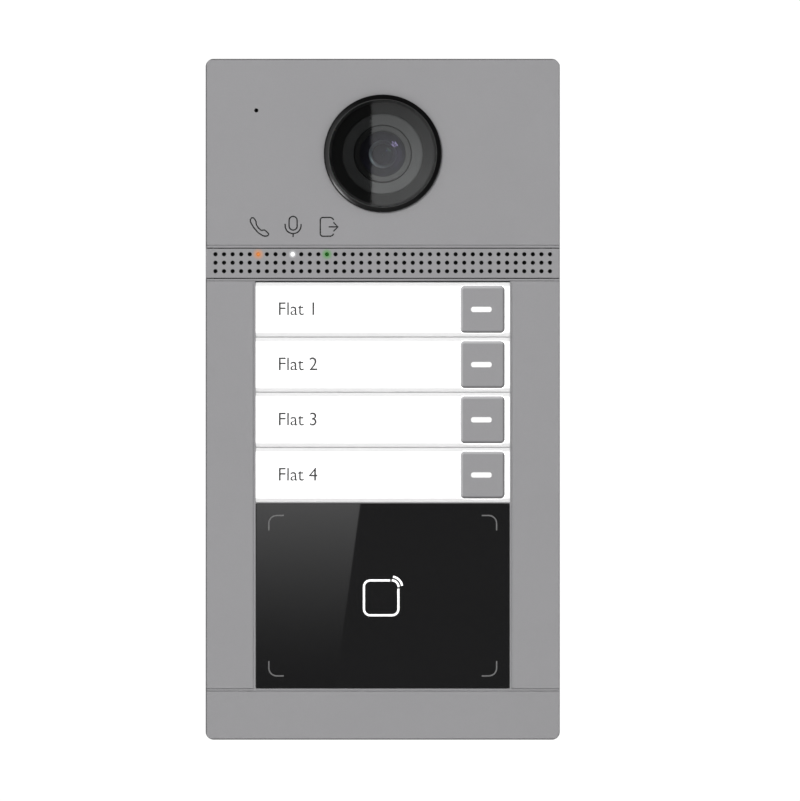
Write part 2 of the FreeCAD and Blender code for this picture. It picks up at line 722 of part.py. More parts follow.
def antenna_board():
    """Thin board that carries the reader's antenna."""
    corner = 2.0
    return slab(ANTENNA_WIDTH, ANTENNA_HEIGHT, TRAY_BACK, ANTENNA_BACK, 0.0, READER_Z, corner)


def antenna_coil():
    """Three copper turns round the antenna board."""
    margin = 2.0
    track = 1.2
    step = 2.2
    outer_corner = 3.0
    inner_corner = outer_corner - track
    turns = []
    for turn in range(3):
        inset = margin + step * turn
        width = ANTENNA_WIDTH - 2 * inset
        height = ANTENNA_HEIGHT - 2 * inset
        outer = slab(width, height, ANTENNA_BACK, COIL_BACK, 0.0, READER_Z, outer_corner)
        inner = slab(width - 2 * track, height - 2 * track, ANTENNA_BACK - OVERRUN, COIL_BACK + OVERRUN,
                     0.0, READER_Z, inner_corner)
        turns.append(outer.cut(inner))
    return Part.makeCompound(turns)


def ferrite_sheet():
    """Shield that keeps the antenna's field away from the main board."""
    margin = 1.0
    thickness = 0.5
    return slab(ANTENNA_WIDTH - 2 * margin, ANTENNA_HEIGHT - 2 * margin, COIL_BACK, COIL_BACK + thickness,
                0.0, READER_Z, margin)


def main_board():
    """Main electronics board."""
    corner = 1.5
    middle = (MAIN_BOARD_LOW_Z + MAIN_BOARD_HIGH_Z) / 2
    board = slab(2 * MAIN_BOARD_HALF_WIDTH, MAIN_BOARD_HIGH_Z - MAIN_BOARD_LOW_Z, MAIN_BOARD_FRONT,
                 MAIN_BOARD_BACK, 0.0, middle, corner)
    return without(board, screw_holes(MAIN_BOARD_POSTS, MAIN_SCREW_RADIUS, MAIN_BOARD_FRONT))


def board_chips():
    """Chips on the main board's front, as (x, z, width, height), and taller parts on its back."""
    chip_thickness = 1.3
    front_chips = [(0.0, 2.0, 14.0, 14.0), (17.0, 3.0, 10.0, 12.0), (-17.0, 3.0, 10.0, 8.0),
                   (20.0, -40.0, 7.0, 7.0), (-20.0, -40.0, 9.0, 6.0), (0.0, -48.0, 5.0, 5.0),
                   (10.0, -60.0, 6.0, 5.0)]
    back_parts = [(-9.0, -1.0, 14.0, 10.0, 4.6), (10.0, 2.0, 10.0, 10.0, 4.2), (24.0, -2.0, 8.0, 8.0, 5.2)]
    solids = [slab(width, height, MAIN_BOARD_FRONT - chip_thickness, MAIN_BOARD_FRONT, x, z)
              for x, z, width, height in front_chips]
    solids += [slab(width, height, MAIN_BOARD_BACK, MAIN_BOARD_BACK + tall, x, z)
               for x, z, width, height, tall in back_parts]
    return Part.makeCompound(solids)


def board_connectors():
    """Plug between the key board and the main board, and the camera board's socket."""
    socket_thickness = 1.6
    socket_drop = 11.0
    between = block(-10.0, 10.0, KEY_BOARD_BACK, MAIN_BOARD_FRONT, 13.5, 18.5)
    socket = slab(12.0, 3.6, CAMERA_BOARD_BACK, CAMERA_BOARD_BACK + socket_thickness, 0.0,
                  CAMERA_Z - socket_drop)
    return Part.makeCompound([between, socket])


def terminal_block():
    """Screw terminals for the door lock, with wire holes towards the cable bay."""
    end_wall = 0.75
    mouth_half = 1.3
    mouth_depth = 5.0
    mouth_front, mouth_back = -11.6, -8.8
    screw_well_radius = 1.5
    screw_well_depth = 1.6
    half_length = TERMINAL_POLES * TERMINAL_PITCH / 2 + end_wall
    middle_x = (TERMINAL_LEFT + TERMINAL_RIGHT) / 2
    body = block(TERMINAL_LEFT, TERMINAL_RIGHT, MAIN_BOARD_BACK, TERMINAL_BACK,
                 TERMINAL_Z - half_length, TERMINAL_Z + half_length)
    cutters = []
    for pole in range(TERMINAL_POLES):
        z = TERMINAL_Z + TERMINAL_PITCH * (pole - (TERMINAL_POLES - 1) / 2)
        cutters.append(block(TERMINAL_LEFT - OVERRUN, TERMINAL_LEFT + mouth_depth, mouth_front, mouth_back,
                             z - mouth_half, z + mouth_half))
        cutters.append(disc(screw_well_radius, TERMINAL_BACK - screw_well_depth, TERMINAL_BACK + OVERRUN,
                            middle_x, z))
    return without(body, cutters)


def network_jack():
    """Network socket that opens downwards into the cable bay."""
    side_wall = 2.0
    latch_inset = 5.0
    latch_front = -12.8
    socket_front, socket_back = -11.4, -3.6
    end_wall = 2.5
    latch_depth = 8.0
    plate_gap = 0.1
    mouth = JACK_LOW_Z - OVERRUN
    body = block(JACK_LEFT, JACK_RIGHT, MAIN_BOARD_BACK, SHELL_BACK - plate_gap, JACK_LOW_Z, JACK_HIGH_Z)
    socket = block(JACK_LEFT + side_wall, JACK_RIGHT - side_wall, socket_front, socket_back, mouth,
                   JACK_HIGH_Z - end_wall)
    latch = block(JACK_LEFT + latch_inset, JACK_RIGHT - latch_inset, latch_front, socket_front, mouth,
                  JACK_LOW_Z + latch_depth)
    return without(body, [socket, latch])


def reset_switch():
    """Housing of the reset switch on the main board's back."""
    width = 6.0
    back = -10.5
    bore_radius = 1.9
    bore_floor = -12.7
    corner = 0.4
    body = slab(width, width, MAIN_BOARD_BACK, back, RESET_X, RESET_Z, corner)
    return body.cut(disc(bore_radius, bore_floor, back + OVERRUN, RESET_X, RESET_Z))


def reset_button():
    """Round stem of the reset switch."""
    radius = 1.6
    front, back = -12.0, -9.6
    edge = 0.25
    return soften(disc(radius, front, back, RESET_X, RESET_Z), back, edge)


def tamper_switch():
    """Switch that notices when the panel leaves the wall."""
    width = 6.4
    return slab(width, width, MAIN_BOARD_BACK, TAMPER_SWITCH_BACK, TAMPER_X, TAMPER_Z)


def tamper_plunger():
    """Sprung pin that reaches through the shell and the plate to the wall."""
    stem_front = -8.0
    tip = -0.05
    tip_edge = 0.4
    flange_radius = 2.9
    flange_thickness = 1.0
    stem = soften(disc(TAMPER_RADIUS, stem_front, tip, TAMPER_X, TAMPER_Z), tip, tip_edge)
    flange_back = TAMPER_FLANGE_FRONT + flange_thickness
    flange = disc(flange_radius, TAMPER_FLANGE_FRONT, flange_back, TAMPER_X, TAMPER_Z)
    return joined([stem, flange])


def tamper_spring():
    """Coil spring behind the plunger's flange, as half turns that each climb by the same rise."""
    wire_radius = 0.22
    coil_radius = 2.3
    half_turns = 8
    end_gap = 0.05
    first = TAMPER_SWITCH_BACK + wire_radius + end_gap
    last = TAMPER_FLANGE_FRONT - wire_radius - end_gap
    rise = (last - first) / half_turns
    pieces = []
    for turn in range(half_turns):
        side = 1 if turn % 2 == 0 else -1
        start = V(TAMPER_X + side * coil_radius, first + rise * turn, TAMPER_Z)
        centre = V(TAMPER_X, start.y + rise / 2, TAMPER_Z)
        section = Part.Face(Part.Wire(Part.makeCircle(wire_radius, start, ALONG_Z)))
        pieces.append(section.revolve(centre, V(side * rise, 2 * coil_radius, 0), 180))
    return pieces[0].multiFuse(pieces[1:])


def rear_shell_additions(cup_places, cup_radius):
    """Screw tubes, board posts and the cups for the wall screws' heads."""
    tube_radius = 3.4
    cup_front = -6.2
    main_post_radius = 2.6
    camera_post_radius = 2.4
    added = [disc(tube_radius, SHELL_TUBE_FRONT, SHELL_FLOOR, x, z) for x, z in SHELL_SCREWS]
    added += [disc(main_post_radius, MAIN_BOARD_BACK, SHELL_FLOOR, x, z) for x, z in MAIN_BOARD_POSTS]
    added += [disc(camera_post_radius, CAMERA_BOARD_BACK, SHELL_FLOOR, x, z)
              for x, z in camera_screw_places()]
    added += [disc(cup_radius, cup_front, SHELL_FLOOR, x, z) for x, z in cup_places]
    return added


def rear_shell_screw_cuts(behind):
    """Cutters for the bores of the screw tubes and the board posts."""
    tube_bore = 1.75
    head_bore = 3.0
    pilot_gap = 0.05
    pilot_end = -6.0
    cutters = []
    for x, z in SHELL_SCREWS:
        cutters.append(disc(tube_bore, SHELL_TUBE_FRONT - OVERRUN, behind, x, z))
        cutters.append(disc(head_bore, SHELL_FLOOR, behind, x, z))
    cutters += [disc(MAIN_SCREW_RADIUS + pilot_gap, MAIN_BOARD_BACK - OVERRUN, pilot_end, x, z)
                for x, z in MAIN_BOARD_POSTS]
    cutters += [disc(CAMERA_SCREW_RADIUS + pilot_gap, CAMERA_BOARD_BACK - OVERRUN, pilot_end, x, z)
                for x, z in camera_screw_places()]
    return cutters


def rear_shell():
    """Black tray behind the fascia, with the cable bay and the slots for the wall plate."""
    back_edge = 0.8
    inner_corner = 0.6
    cup_radius = 6.6
    recess_radius = 5.5
    recess_front = -4.7
    hook_gap = 0.6
    hook_drop = 3.6
    flange_gap = 0.6
    plunger_bore = TAMPER_RADIUS + 0.3
    lock_bore = 1.7
    before, behind = SHELL_FLOOR - OVERRUN, SHELL_BACK + OVERRUN
    body = slab(SHELL_WIDTH, SHELL_HEIGHT, SHELL_RIM, SHELL_BACK, radius=SHELL_CORNER)
    body = soften(body, SHELL_BACK, back_edge)
    hollow = slab(SHELL_WIDTH - 2 * SHELL_WALL, SHELL_HEIGHT - 2 * SHELL_WALL,
                  SHELL_RIM - OVERRUN, SHELL_FLOOR,
                  radius=inner_corner)
    cup_places = [(x, z) for x in (-WALL_HOLE_X, WALL_HOLE_X) for z in (-WALL_HOLE_Z, WALL_HOLE_Z)]
    cutters = rear_shell_screw_cuts(behind)
    cutters.append(block(-BAY_HALF_WIDTH, BAY_HALF_WIDTH, before, behind, BAY_LOW_Z, BAY_HIGH_Z))
    cutters += [disc(recess_radius, recess_front, behind, x, z) for x, z in cup_places]
    for x in (-HOOK_X, HOOK_X):
        half = HOOK_WIDTH / 2 + hook_gap
        cutters.append(block(x - half, x + half, before, behind, HOOK_Z - hook_drop, HOOK_Z + SHEET + 0.1))
    flange_half = LOCK_FLANGE_WIDTH / 2 + flange_gap
    cutters.append(block(-flange_half, flange_half, before, behind, WALL_PLATE_LOW_Z - flange_gap,
                         WALL_PLATE_LOW_Z + SHEET + flange_gap))
    cutters.append(disc(plunger_bore, before, behind, TAMPER_X, TAMPER_Z))
    cutters.append(upright(lock_bore, -SHELL_HEIGHT / 2 - OVERRUN, -SHELL_HEIGHT / 2 + SHELL_WALL + OVERRUN))
    return without(joined([body.cut(hollow)] + rear_shell_additions(cup_places, cup_radius)), cutters)


def shell_seal():
    """Rubber ring between the shell's rim and the fascia."""
    band = 1.6
    side_gap = 0.1
    corner = 0.5
    width = SHELL_WIDTH - 2 * side_gap
    height = SHELL_HEIGHT - 2 * side_gap
    outer = slab(width, height, PLATE_BACK, SHELL_RIM, radius=corner)
    inner = slab(width - 2 * band, height - 2 * band, PLATE_BACK - OVERRUN, SHELL_RIM + OVERRUN,
                 radius=corner)
    return outer.cut(inner)


def cross_recess(y0, y1, cx, cz, reach):
    """Cutter for the cross in a screw's head."""
    half = 0.35
    flat = block(cx - reach, cx + reach, y0, y1, cz - half, cz + half)
    return flat.fuse(block(cx - half, cx + half, y0, y1, cz - reach, cz + reach))


def shell_screws():
    """The screws that hold the shell to the fascia."""
    head_front = SHELL_FLOOR + 0.05
    head_back = -1.75
    head_radius = 2.8
    head_edge = 0.4
    shaft_radius = 1.5
    tip = -25.6
    recess_depth = 0.9
    recess_reach = 1.6
    screws = []
    for x, z in SHELL_SCREWS:
        head = soften(disc(head_radius, head_front, head_back, x, z), head_back, head_edge)
        shaft = disc(shaft_radius, tip, head_front, x, z)
        recess = cross_recess(head_back - recess_depth, head_back + OVERRUN, x, z, recess_reach)
        screws.append(joined([head, shaft]).cut(recess))
    return Part.makeCompound(screws)


def board_screw(x, z, seat, direction, radius, length):
    """A pan-head screw whose head rests at seat and whose shaft runs along Y in one direction."""
    head_radius = 2 * radius
    head_height = 1.1
    recess_depth = 0.6
    head_end = seat - direction * head_height
    shaft_end = seat + direction * length
    recess_end = head_end + direction * recess_depth
    recess_start = head_end - direction * OVERRUN
    head = disc(head_radius, min(seat, head_end), max(seat, head_end), x, z)
    shaft = disc(radius, min(seat, shaft_end), max(seat, shaft_end), x, z)
    recess = cross_recess(min(recess_start, recess_end), max(recess_start, recess_end), x, z, radius)
    return joined([head, shaft]).cut(recess)


def board_screws():
    """The screws of the main board, the camera board and the key board."""
    screws = [board_screw(x, z, MAIN_BOARD_FRONT, 1, MAIN_SCREW_RADIUS, 8.0) for x, z in MAIN_BOARD_POSTS]
    screws += [board_screw(x, z, CAMERA_BOARD_FRONT, 1, CAMERA_SCREW_RADIUS, 6.0)
               for x, z in camera_screw_places()]
    screws += [board_screw(x, z, KEY_BOARD_BACK, -1, KEY_SCREW_RADIUS, 5.0) for x, z in TRAY_POSTS]
    return Part.makeCompound(screws)


def wall_plate():
    """Steel plate on the wall, with two hooks, a lock flange and a cable window."""
    hook_reach = -5.5
    hook_lip = 3.0
    flange_reach = -10.0
    plunger_bore = TAMPER_RADIUS + 0.6
    lock_bore = 1.6
    window_corner = 2.0
    before, behind = SHELL_BACK - OVERRUN, OVERRUN
    plate = slab(WALL_PLATE_WIDTH, WALL_PLATE_HEIGHT, SHELL_BACK, 0.0, radius=WALL_PLATE_CORNER)
    added = []
    for x in (-HOOK_X, HOOK_X):
        left, right = x - HOOK_WIDTH / 2, x + HOOK_WIDTH / 2
        added.append(block(left, right, hook_reach, SHELL_BACK, HOOK_Z, HOOK_Z + SHEET))
        added.append(block(left, right, hook_reach, hook_reach + SHEET, HOOK_Z, HOOK_Z + SHEET + hook_lip))
    added.append(block(-LOCK_FLANGE_WIDTH / 2, LOCK_FLANGE_WIDTH / 2, flange_reach, SHELL_BACK,
                       WALL_PLATE_LOW_Z, WALL_PLATE_LOW_Z + SHEET))
    window_z = (WINDOW_LOW_Z + WINDOW_HIGH_Z) / 2
    cutters = [slab(2 * WINDOW_HALF_WIDTH, WINDOW_HIGH_Z - WINDOW_LOW_Z, before, behind, 0.0, window_z,
                    window_corner)]
    for x in (-WALL_HOLE_X, WALL_HOLE_X):
        for z in (-WALL_HOLE_Z, WALL_HOLE_Z):
            cutters.append(disc(WALL_HOLE_RADIUS, before, behind, x, z))
    cutters.append(disc(plunger_bore, before, behind, TAMPER_X, TAMPER_Z))
    cutters.append(upright(lock_bore, WALL_PLATE_LOW_Z - OVERRUN, WALL_PLATE_LOW_Z + SHEET + OVERRUN))
    return without(joined([plate] + added), cutters)


def security_screw():
    """Screw under the panel that locks it to the wall plate, with a six-sided pin socket."""
    head_high = -SHELL_HEIGHT / 2
    head_low = head_high - 1.7
    socket_depth = 1.1
    socket_radius = 1.5
    socket_floor = head_low + socket_depth
    corners = []
    for corner in range(6):
        angle = math.radians(60 * corner)
        across, along = socket_radius * math.cos(angle), socket_radius * math.sin(angle)
        corners.append(V(across, LOCK_SCREW_Y + along, head_low))
    socket = Part.Face(Part.makePolygon(corners + corners[:1])).extrude(V(0, 0, socket_depth))
    head = upright(2.75, head_low, head_high)
    shaft = upright(1.45, head_high, head_high + 8.0)
    pin = upright(0.45, head_low, socket_floor)
    return joined([joined([head, shaft]).cut(socket), pin])


def all_nodes():
    """Every node of the panel, by name."""
    nodes = {
        "front_fascia": front_fascia(), "speaker_grille": speaker_grille(), "grille_mesh": grille_mesh(),
        "camera_trim_ring": camera_trim_ring(), "camera_window": camera_window(),
        "camera_window_seal": camera_window_seal(), "camera_baffle": camera_baffle(),
        "lens_barrel": lens_barrel(), "lens_front_element": lens_front_element(),
        "lens_inner_element": lens_inner_element(), "image_sensor": image_sensor(),
        "camera_board": camera_board(),
        "microphone": microphone(), "microphone_boot": microphone_boot(),
        "status_board": status_board(), "status_leds": status_leds(),
        "speaker_basket": speaker_basket(), "speaker_magnet": speaker_magnet(),
        "speaker_cone": speaker_cone(),
        "speaker_surround": speaker_surround(), "speaker_gasket": speaker_gasket(),
        "keypad_mat": keypad_mat(), "key_board": key_board(), "backlight_leds": backlight_leds(),
        "label_tray": label_tray(), "reader_window": reader_window(), "antenna_board": antenna_board(),
        "antenna_coil": antenna_coil(), "ferrite_sheet": ferrite_sheet(), "main_board": main_board(),
        "board_chips": board_chips(), "board_connectors": board_connectors(),
        "terminal_block": terminal_block(),
        "network_jack": network_jack(), "reset_switch": reset_switch(), "reset_button": reset_button(),
        "tamper_switch": tamper_switch(), "tamper_plunger": tamper_plunger(),
        "tamper_spring": tamper_spring(),
        "rear_shell": rear_shell(), "shell_seal": shell_seal(), "shell_screws": shell_screws(),
        "board_screws": board_screws(), "wall_plate": wall_plate(), "security_screw": security_screw(),
    }
    for name, column in STATUS_COLUMNS.items():
        nodes["status_light_" + name] = status_light(column)
    for index in range(TILE_COUNT):
        number = str(index + 1)
        nodes["name_plate_" + number] = name_plate(index)
        nodes["call_button_" + number] = call_button(index)
        nodes["button_light_bar_" + number] = button_light_bar(index)
    return nodes


def main():
    """Write one STEP file per node and say what it holds."""
    os.makedirs(PARTS_FOLDER, exist_ok=True)
    nodes = all_nodes()
    for name in sorted(nodes):
        shape = nodes[name]
        shape.exportStep(os.path.join(PARTS_FOLDER, name + ".step"))
        state = "valid" if shape.isValid() else "not valid"
        print(name, len(shape.Solids), "solids", round(shape.Volume, 2), "mm3", state)
    print(len(nodes), "nodes")


main()
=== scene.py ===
"""Looks of a four-call door intercom panel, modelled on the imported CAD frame.

Each sub-assembly is a class that holds its sizes and models its pieces with Blender's operators. Each finish
is a small frozen class that builds one procedural material. Sizes are millimetres and meshes are metres. X
runs to the panel's right, Z up, and the front faces -Y.
"""

from __future__ import annotations

import logging
import math
from dataclasses import dataclass
from enum import Enum

import bpy
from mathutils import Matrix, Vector

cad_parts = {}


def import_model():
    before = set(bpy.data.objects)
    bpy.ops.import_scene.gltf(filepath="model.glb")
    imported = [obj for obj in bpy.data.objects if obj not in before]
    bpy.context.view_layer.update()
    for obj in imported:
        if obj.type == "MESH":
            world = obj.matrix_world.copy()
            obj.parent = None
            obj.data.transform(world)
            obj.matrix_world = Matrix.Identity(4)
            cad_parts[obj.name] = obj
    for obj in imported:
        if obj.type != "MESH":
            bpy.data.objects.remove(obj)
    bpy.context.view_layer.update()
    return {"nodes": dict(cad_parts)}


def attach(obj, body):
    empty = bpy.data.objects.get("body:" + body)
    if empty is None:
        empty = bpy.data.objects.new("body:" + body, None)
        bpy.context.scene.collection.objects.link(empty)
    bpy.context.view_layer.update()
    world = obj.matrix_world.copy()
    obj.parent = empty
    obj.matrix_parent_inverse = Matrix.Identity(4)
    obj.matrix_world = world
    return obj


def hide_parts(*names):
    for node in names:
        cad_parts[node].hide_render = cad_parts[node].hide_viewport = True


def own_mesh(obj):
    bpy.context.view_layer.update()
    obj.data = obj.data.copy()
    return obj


LOG = logging.getLogger("intercom")

MM = 0.001
FACING_FRONT = (math.pi / 2, 0.0, 0.0)
PLATE_CENTRES = (22.95, 8.85, -5.25, -19.35)
PLATE_PITCH = 14.1
# Added to a height, it puts every plate's middle at the middle of a whole pitch above zero.
PITCH_SHIFT = 10.5 * PLATE_PITCH - PLATE_CENTRES[0]
FASCIA_FRONT = -30.0
PLATE_FRONT = -29.7
READER_FRONT = -29.8
CAMERA_HEIGHT = 62.8
LAMP_HEIGHT = 37.05
PANEL_HALF_WIDTH = 45.25
PANEL_HALF_HEIGHT = 87.0
FIXED_BODY = "root"

Colour = tuple[float, float, float]
Point = tuple[float, float, float]
Flat = tuple[float, float]
Line = tuple[list[Flat], bool]


class Signal:
    """A socket that takes part in shader arithmetic through Python's operators."""

    def __init__(self, bench: Bench, socket: bpy.types.NodeSocket) -> None:
        """Wraps a socket of the bench's node tree."""
        self.bench = bench
        self.socket = socket

    def __add__(self, other: Value) -> Signal:
        """Adds."""
        return self.bench.math("ADD", self, other)

    def __radd__(self, other: Value) -> Signal:
        """Adds, with a number on the left."""
        return self.bench.math("ADD", other, self)

    def __sub__(self, other: Value) -> Signal:
        """Subtracts."""
        return self.bench.math("SUBTRACT", self, other)

    def __rsub__(self, other: Value) -> Signal:
        """Subtracts from a number."""
        return self.bench.math("SUBTRACT", other, self)

    def __mul__(self, other: Value) -> Signal:
        """Multiplies."""
        return self.bench.math("MULTIPLY", self, other)

    def __rmul__(self, other: Value) -> Signal:
        """Multiplies, with a number on the left."""
        return self.bench.math("MULTIPLY", other, self)

    def __truediv__(self, other: Value) -> Signal:
        """Divides."""
        return self.bench.math("DIVIDE", self, other)

    def __pow__(self, other: Value) -> Signal:
        """Raises to a power."""
        return self.bench.math("POWER", self, other)

    def __abs__(self) -> Signal:
        """Drops the sign."""
        return self.bench.math("ABSOLUTE", self, 0.0)

    def ramp(self, start: float, end: float, low: float = 0.0, high: float = 1.0) -> Signal:
        """Eases from low to high as this value runs from start to end.

        Args:
            start: Value at which the result is low.
            end: Value at which the result is high. It may be less than start.
            low: Result before start.
            high: Result after end.

        Returns:
            The eased value.
        """
        sockets = {"Value": self, "From Min": start, "From Max": end, "To Min": low, "To Max": high}
        made = self.bench.node("MapRange", {"interpolation_type": "SMOOTHSTEP"}, sockets)
        return self.bench.out(made, "Result")

    def over(self, edge: float, soft: float) -> Signal:
        """1 where this length is over an edge, blurred by soft on both sides, in millimetres."""
        return self.ramp((edge - soft) * MM, (edge + soft) * MM)

    def under(self, edge: float, soft: float) -> Signal:
        """1 where this length is under an edge, blurred by soft on both sides, in millimetres."""
        return self.ramp((edge + soft) * MM, (edge - soft) * MM)

    def least(self, other: Value) -> Signal:
        """The smaller of the two."""
        return self.bench.math("MINIMUM", self, other)

    def most(self, other: Value) -> Signal:
        """The larger of the two."""
        return self.bench.math("MAXIMUM", self, other)


Value = Signal | float


class Bench:
    """Builds the nodes of one material or world."""

    def __init__(self, tree: bpy.types.NodeTree) -> None:
        """Starts on an emptied node tree."""
        self.tree = tree
        self.tree.nodes.clear()

    def node(self, kind: str, settings: dict | None = None, sockets: dict | None = None) -> bpy.types.Node:
        """Adds a node.

        Args:
            kind: The node's type, without its ShaderNode prefix.
            settings: Properties, set first.
            sockets: Values or links of the inputs, by name or number.

        Returns:
            The node.
        """
        made = self.tree.nodes.new("ShaderNode" + kind)
        for key, value in (settings or {}).items():
            setattr(made, key, value)
        for key, value in (sockets or {}).items():
            self.feed(made.inputs[key], value)
        return made

    def feed(self, socket: bpy.types.NodeSocket, value: object) -> None:
        """Links a signal to a socket, or sets a number or colour on it.

        Args:
            socket: The input.
            value: A signal, a number, a vector or a colour.
        """
        if isinstance(value, Signal):
            self.tree.links.new(value.socket, socket)
        elif isinstance(value, tuple) and socket.type == "RGBA":
            socket.default_value = (*value[:3], 1.0)
        else:
            socket.default_value = value

    def out(self, node: bpy.types.Node, key: int | str = 0) -> Signal:
        """Wraps one of a node's outputs."""
        return Signal(self, node.outputs[key])

    def math(self, operation: str, first: Value, second: Value) -> Signal:
        """Adds a Math node on two values."""
        return self.out(self.node("Math", {"operation": operation}, {0: first, 1: second}))

    def place(self) -> Signal:
        """Where the surface is, in the frame, in metres."""
        return self.out(self.node("TexCoord"), "Object")

    def axes(self, vector: Signal) -> tuple[Signal, Signal, Signal]:
        """Splits a vector into its X, Y and Z."""
        parts = self.node("SeparateXYZ", None, {0: vector})
        return self.out(parts, 0), self.out(parts, 1), self.out(parts, 2)

    def stretch(self, vector: Signal, factors: Point) -> Signal:
        """Multiplies a vector by a factor on each axis."""
        made = self.node("VectorMath", {"operation": "MULTIPLY"}, {0: vector, 1: factors})
        return self.out(made)

    def noise(self, vector: Signal, size: float, detail: float = 2.0, roughness: float = 0.5) -> Signal:
        """Cloudy noise from 0 to 1 whose features are about size millimetres."""
        sockets = {"Vector": vector, "Scale": 1.0 / (size * MM), "Detail": detail, "Roughness": roughness}
        return self.out(self.node("TexNoise", None, sockets), "Fac")

    def cells(self, vector: Signal, size: float, feature: str = "F1", scatter: float = 1.0) -> bpy.types.Node:
        """Voronoi cells about size millimetres across."""
        sockets = {"Vector": vector, "Scale": 1.0 / (size * MM), "Randomness": scatter}
        return self.node("TexVoronoi", {"feature": feature}, sockets)

    def mix(self, factor: Value, first: Signal | Colour, second: Signal | Colour) -> Signal:
        """Blends two colours."""
        made = self.node("Mix", {"data_type": "RGBA"}, {0: factor, 6: first, 7: second})
        return self.out(made, 2)

    def shades(self, factor: Value, colour: Colour, spread: float) -> Signal:
        """Varies a colour darker and lighter by a share of itself."""
        return self.mix(factor, tinted(colour, 1.0 - spread), tinted(colour, 1.0 + spread))

    def bump(self, height: Signal, depth: float, strength: float = 1.0,
             under: Signal | None = None) -> Signal:
        """Turns a height from 0 to 1 into a normal.

        Args:
            height: The height.
            depth: What a height of 1 stands for, in millimetres.
            strength: How much of it shows.
            under: Another normal that this one is laid on.

        Returns:
            The normal.
        """
        sockets = {"Height": height, "Distance": depth * MM, "Strength": strength}
        if under is not None:
            sockets["Normal"] = under
        return self.out(self.node("Bump", None, sockets))

    def principled(self, sockets: dict) -> Signal:
        """Adds the surface shader."""
        return self.out(self.node("BsdfPrincipled", None, sockets))

    def blend(self, factor: Value, first: Signal, second: Signal) -> Signal:
        """Blends two shaders."""
        return self.out(self.node("MixShader", None, {0: factor, 1: first, 2: second}))

    def radius(self, centre: Flat) -> Signal:
        """Measures how far the surface is from an axis along Y.

        Args:
            centre: The axis, as X and Z in millimetres.

        Returns:
            The distance, in metres.
        """
        x, _, z = self.axes(self.place())
        across = x - centre[0] * MM
        up = z - centre[1] * MM
        return (across * across + up * up) ** 0.5

    def from_plate(self, height: Signal) -> Signal:
        """How far a height is above the middle of its own name plate, in metres."""
        return self.math("MODULO", height + PITCH_SHIFT * MM, PLATE_PITCH * MM) - PLATE_PITCH * MM / 2


def tinted(colour: Colour, factor: float) -> Colour:
    """Multiplies a colour by a number."""
    return (colour[0] * factor, colour[1] * factor, colour[2] * factor)


def grey(value: float) -> Colour:
    """A neutral colour."""
    return (value, value, value)


class Finish:
    """A finish that is built once and shared by every piece that has it."""

    name: str

    def build(self, bench: Bench) -> Signal:
        """Builds the nodes.

        Args:
            bench: The material's node tree.

        Returns:
            The shader that goes to the output.
        """
        raise NotImplementedError

    def material(self) -> bpy.types.Material:
        """Makes the material at its first use.

        Returns:
            The material.
        """
        found = bpy.data.materials.get(self.name)
        if found is None:
            found = bpy.data.materials.new(self.name)
            found.use_nodes = True
            bench = Bench(found.node_tree)
            shader = self.build(bench)
            bench.node("OutputMaterial", None, {"Surface": shader})
        return found

    def cover(self, target: bpy.types.Object) -> None:
        """Gives the finish to an object, in place of any it has."""
        target.data.materials.clear()
        target.data.materials.append(self.material())


@dataclass(frozen=True)
class Lamp:
    """A status lamp: where it is along the panel, its colour and the painted glow on the paint around it."""

    name: str
    slot: str
    x: float
    colour: Colour
    painted_halo: Colour
    strength: float
    reach: float


STATUS_LAMPS = (
    Lamp("call", "light_orange", -31.784, (0.66, 0.22, 0.050), (0.36, 0.165, 0.075), 0.55, 1.7),
    Lamp("talk", "light_white", -23.016, (1.0, 1.0, 1.0), (0.36, 0.36, 0.37), 0.9, 1.15),
    Lamp("unlock", "light_green", -14.248, (0.010, 0.095, 0.008), (0.055, 0.19, 0.045), 0.50, 1.7),
)


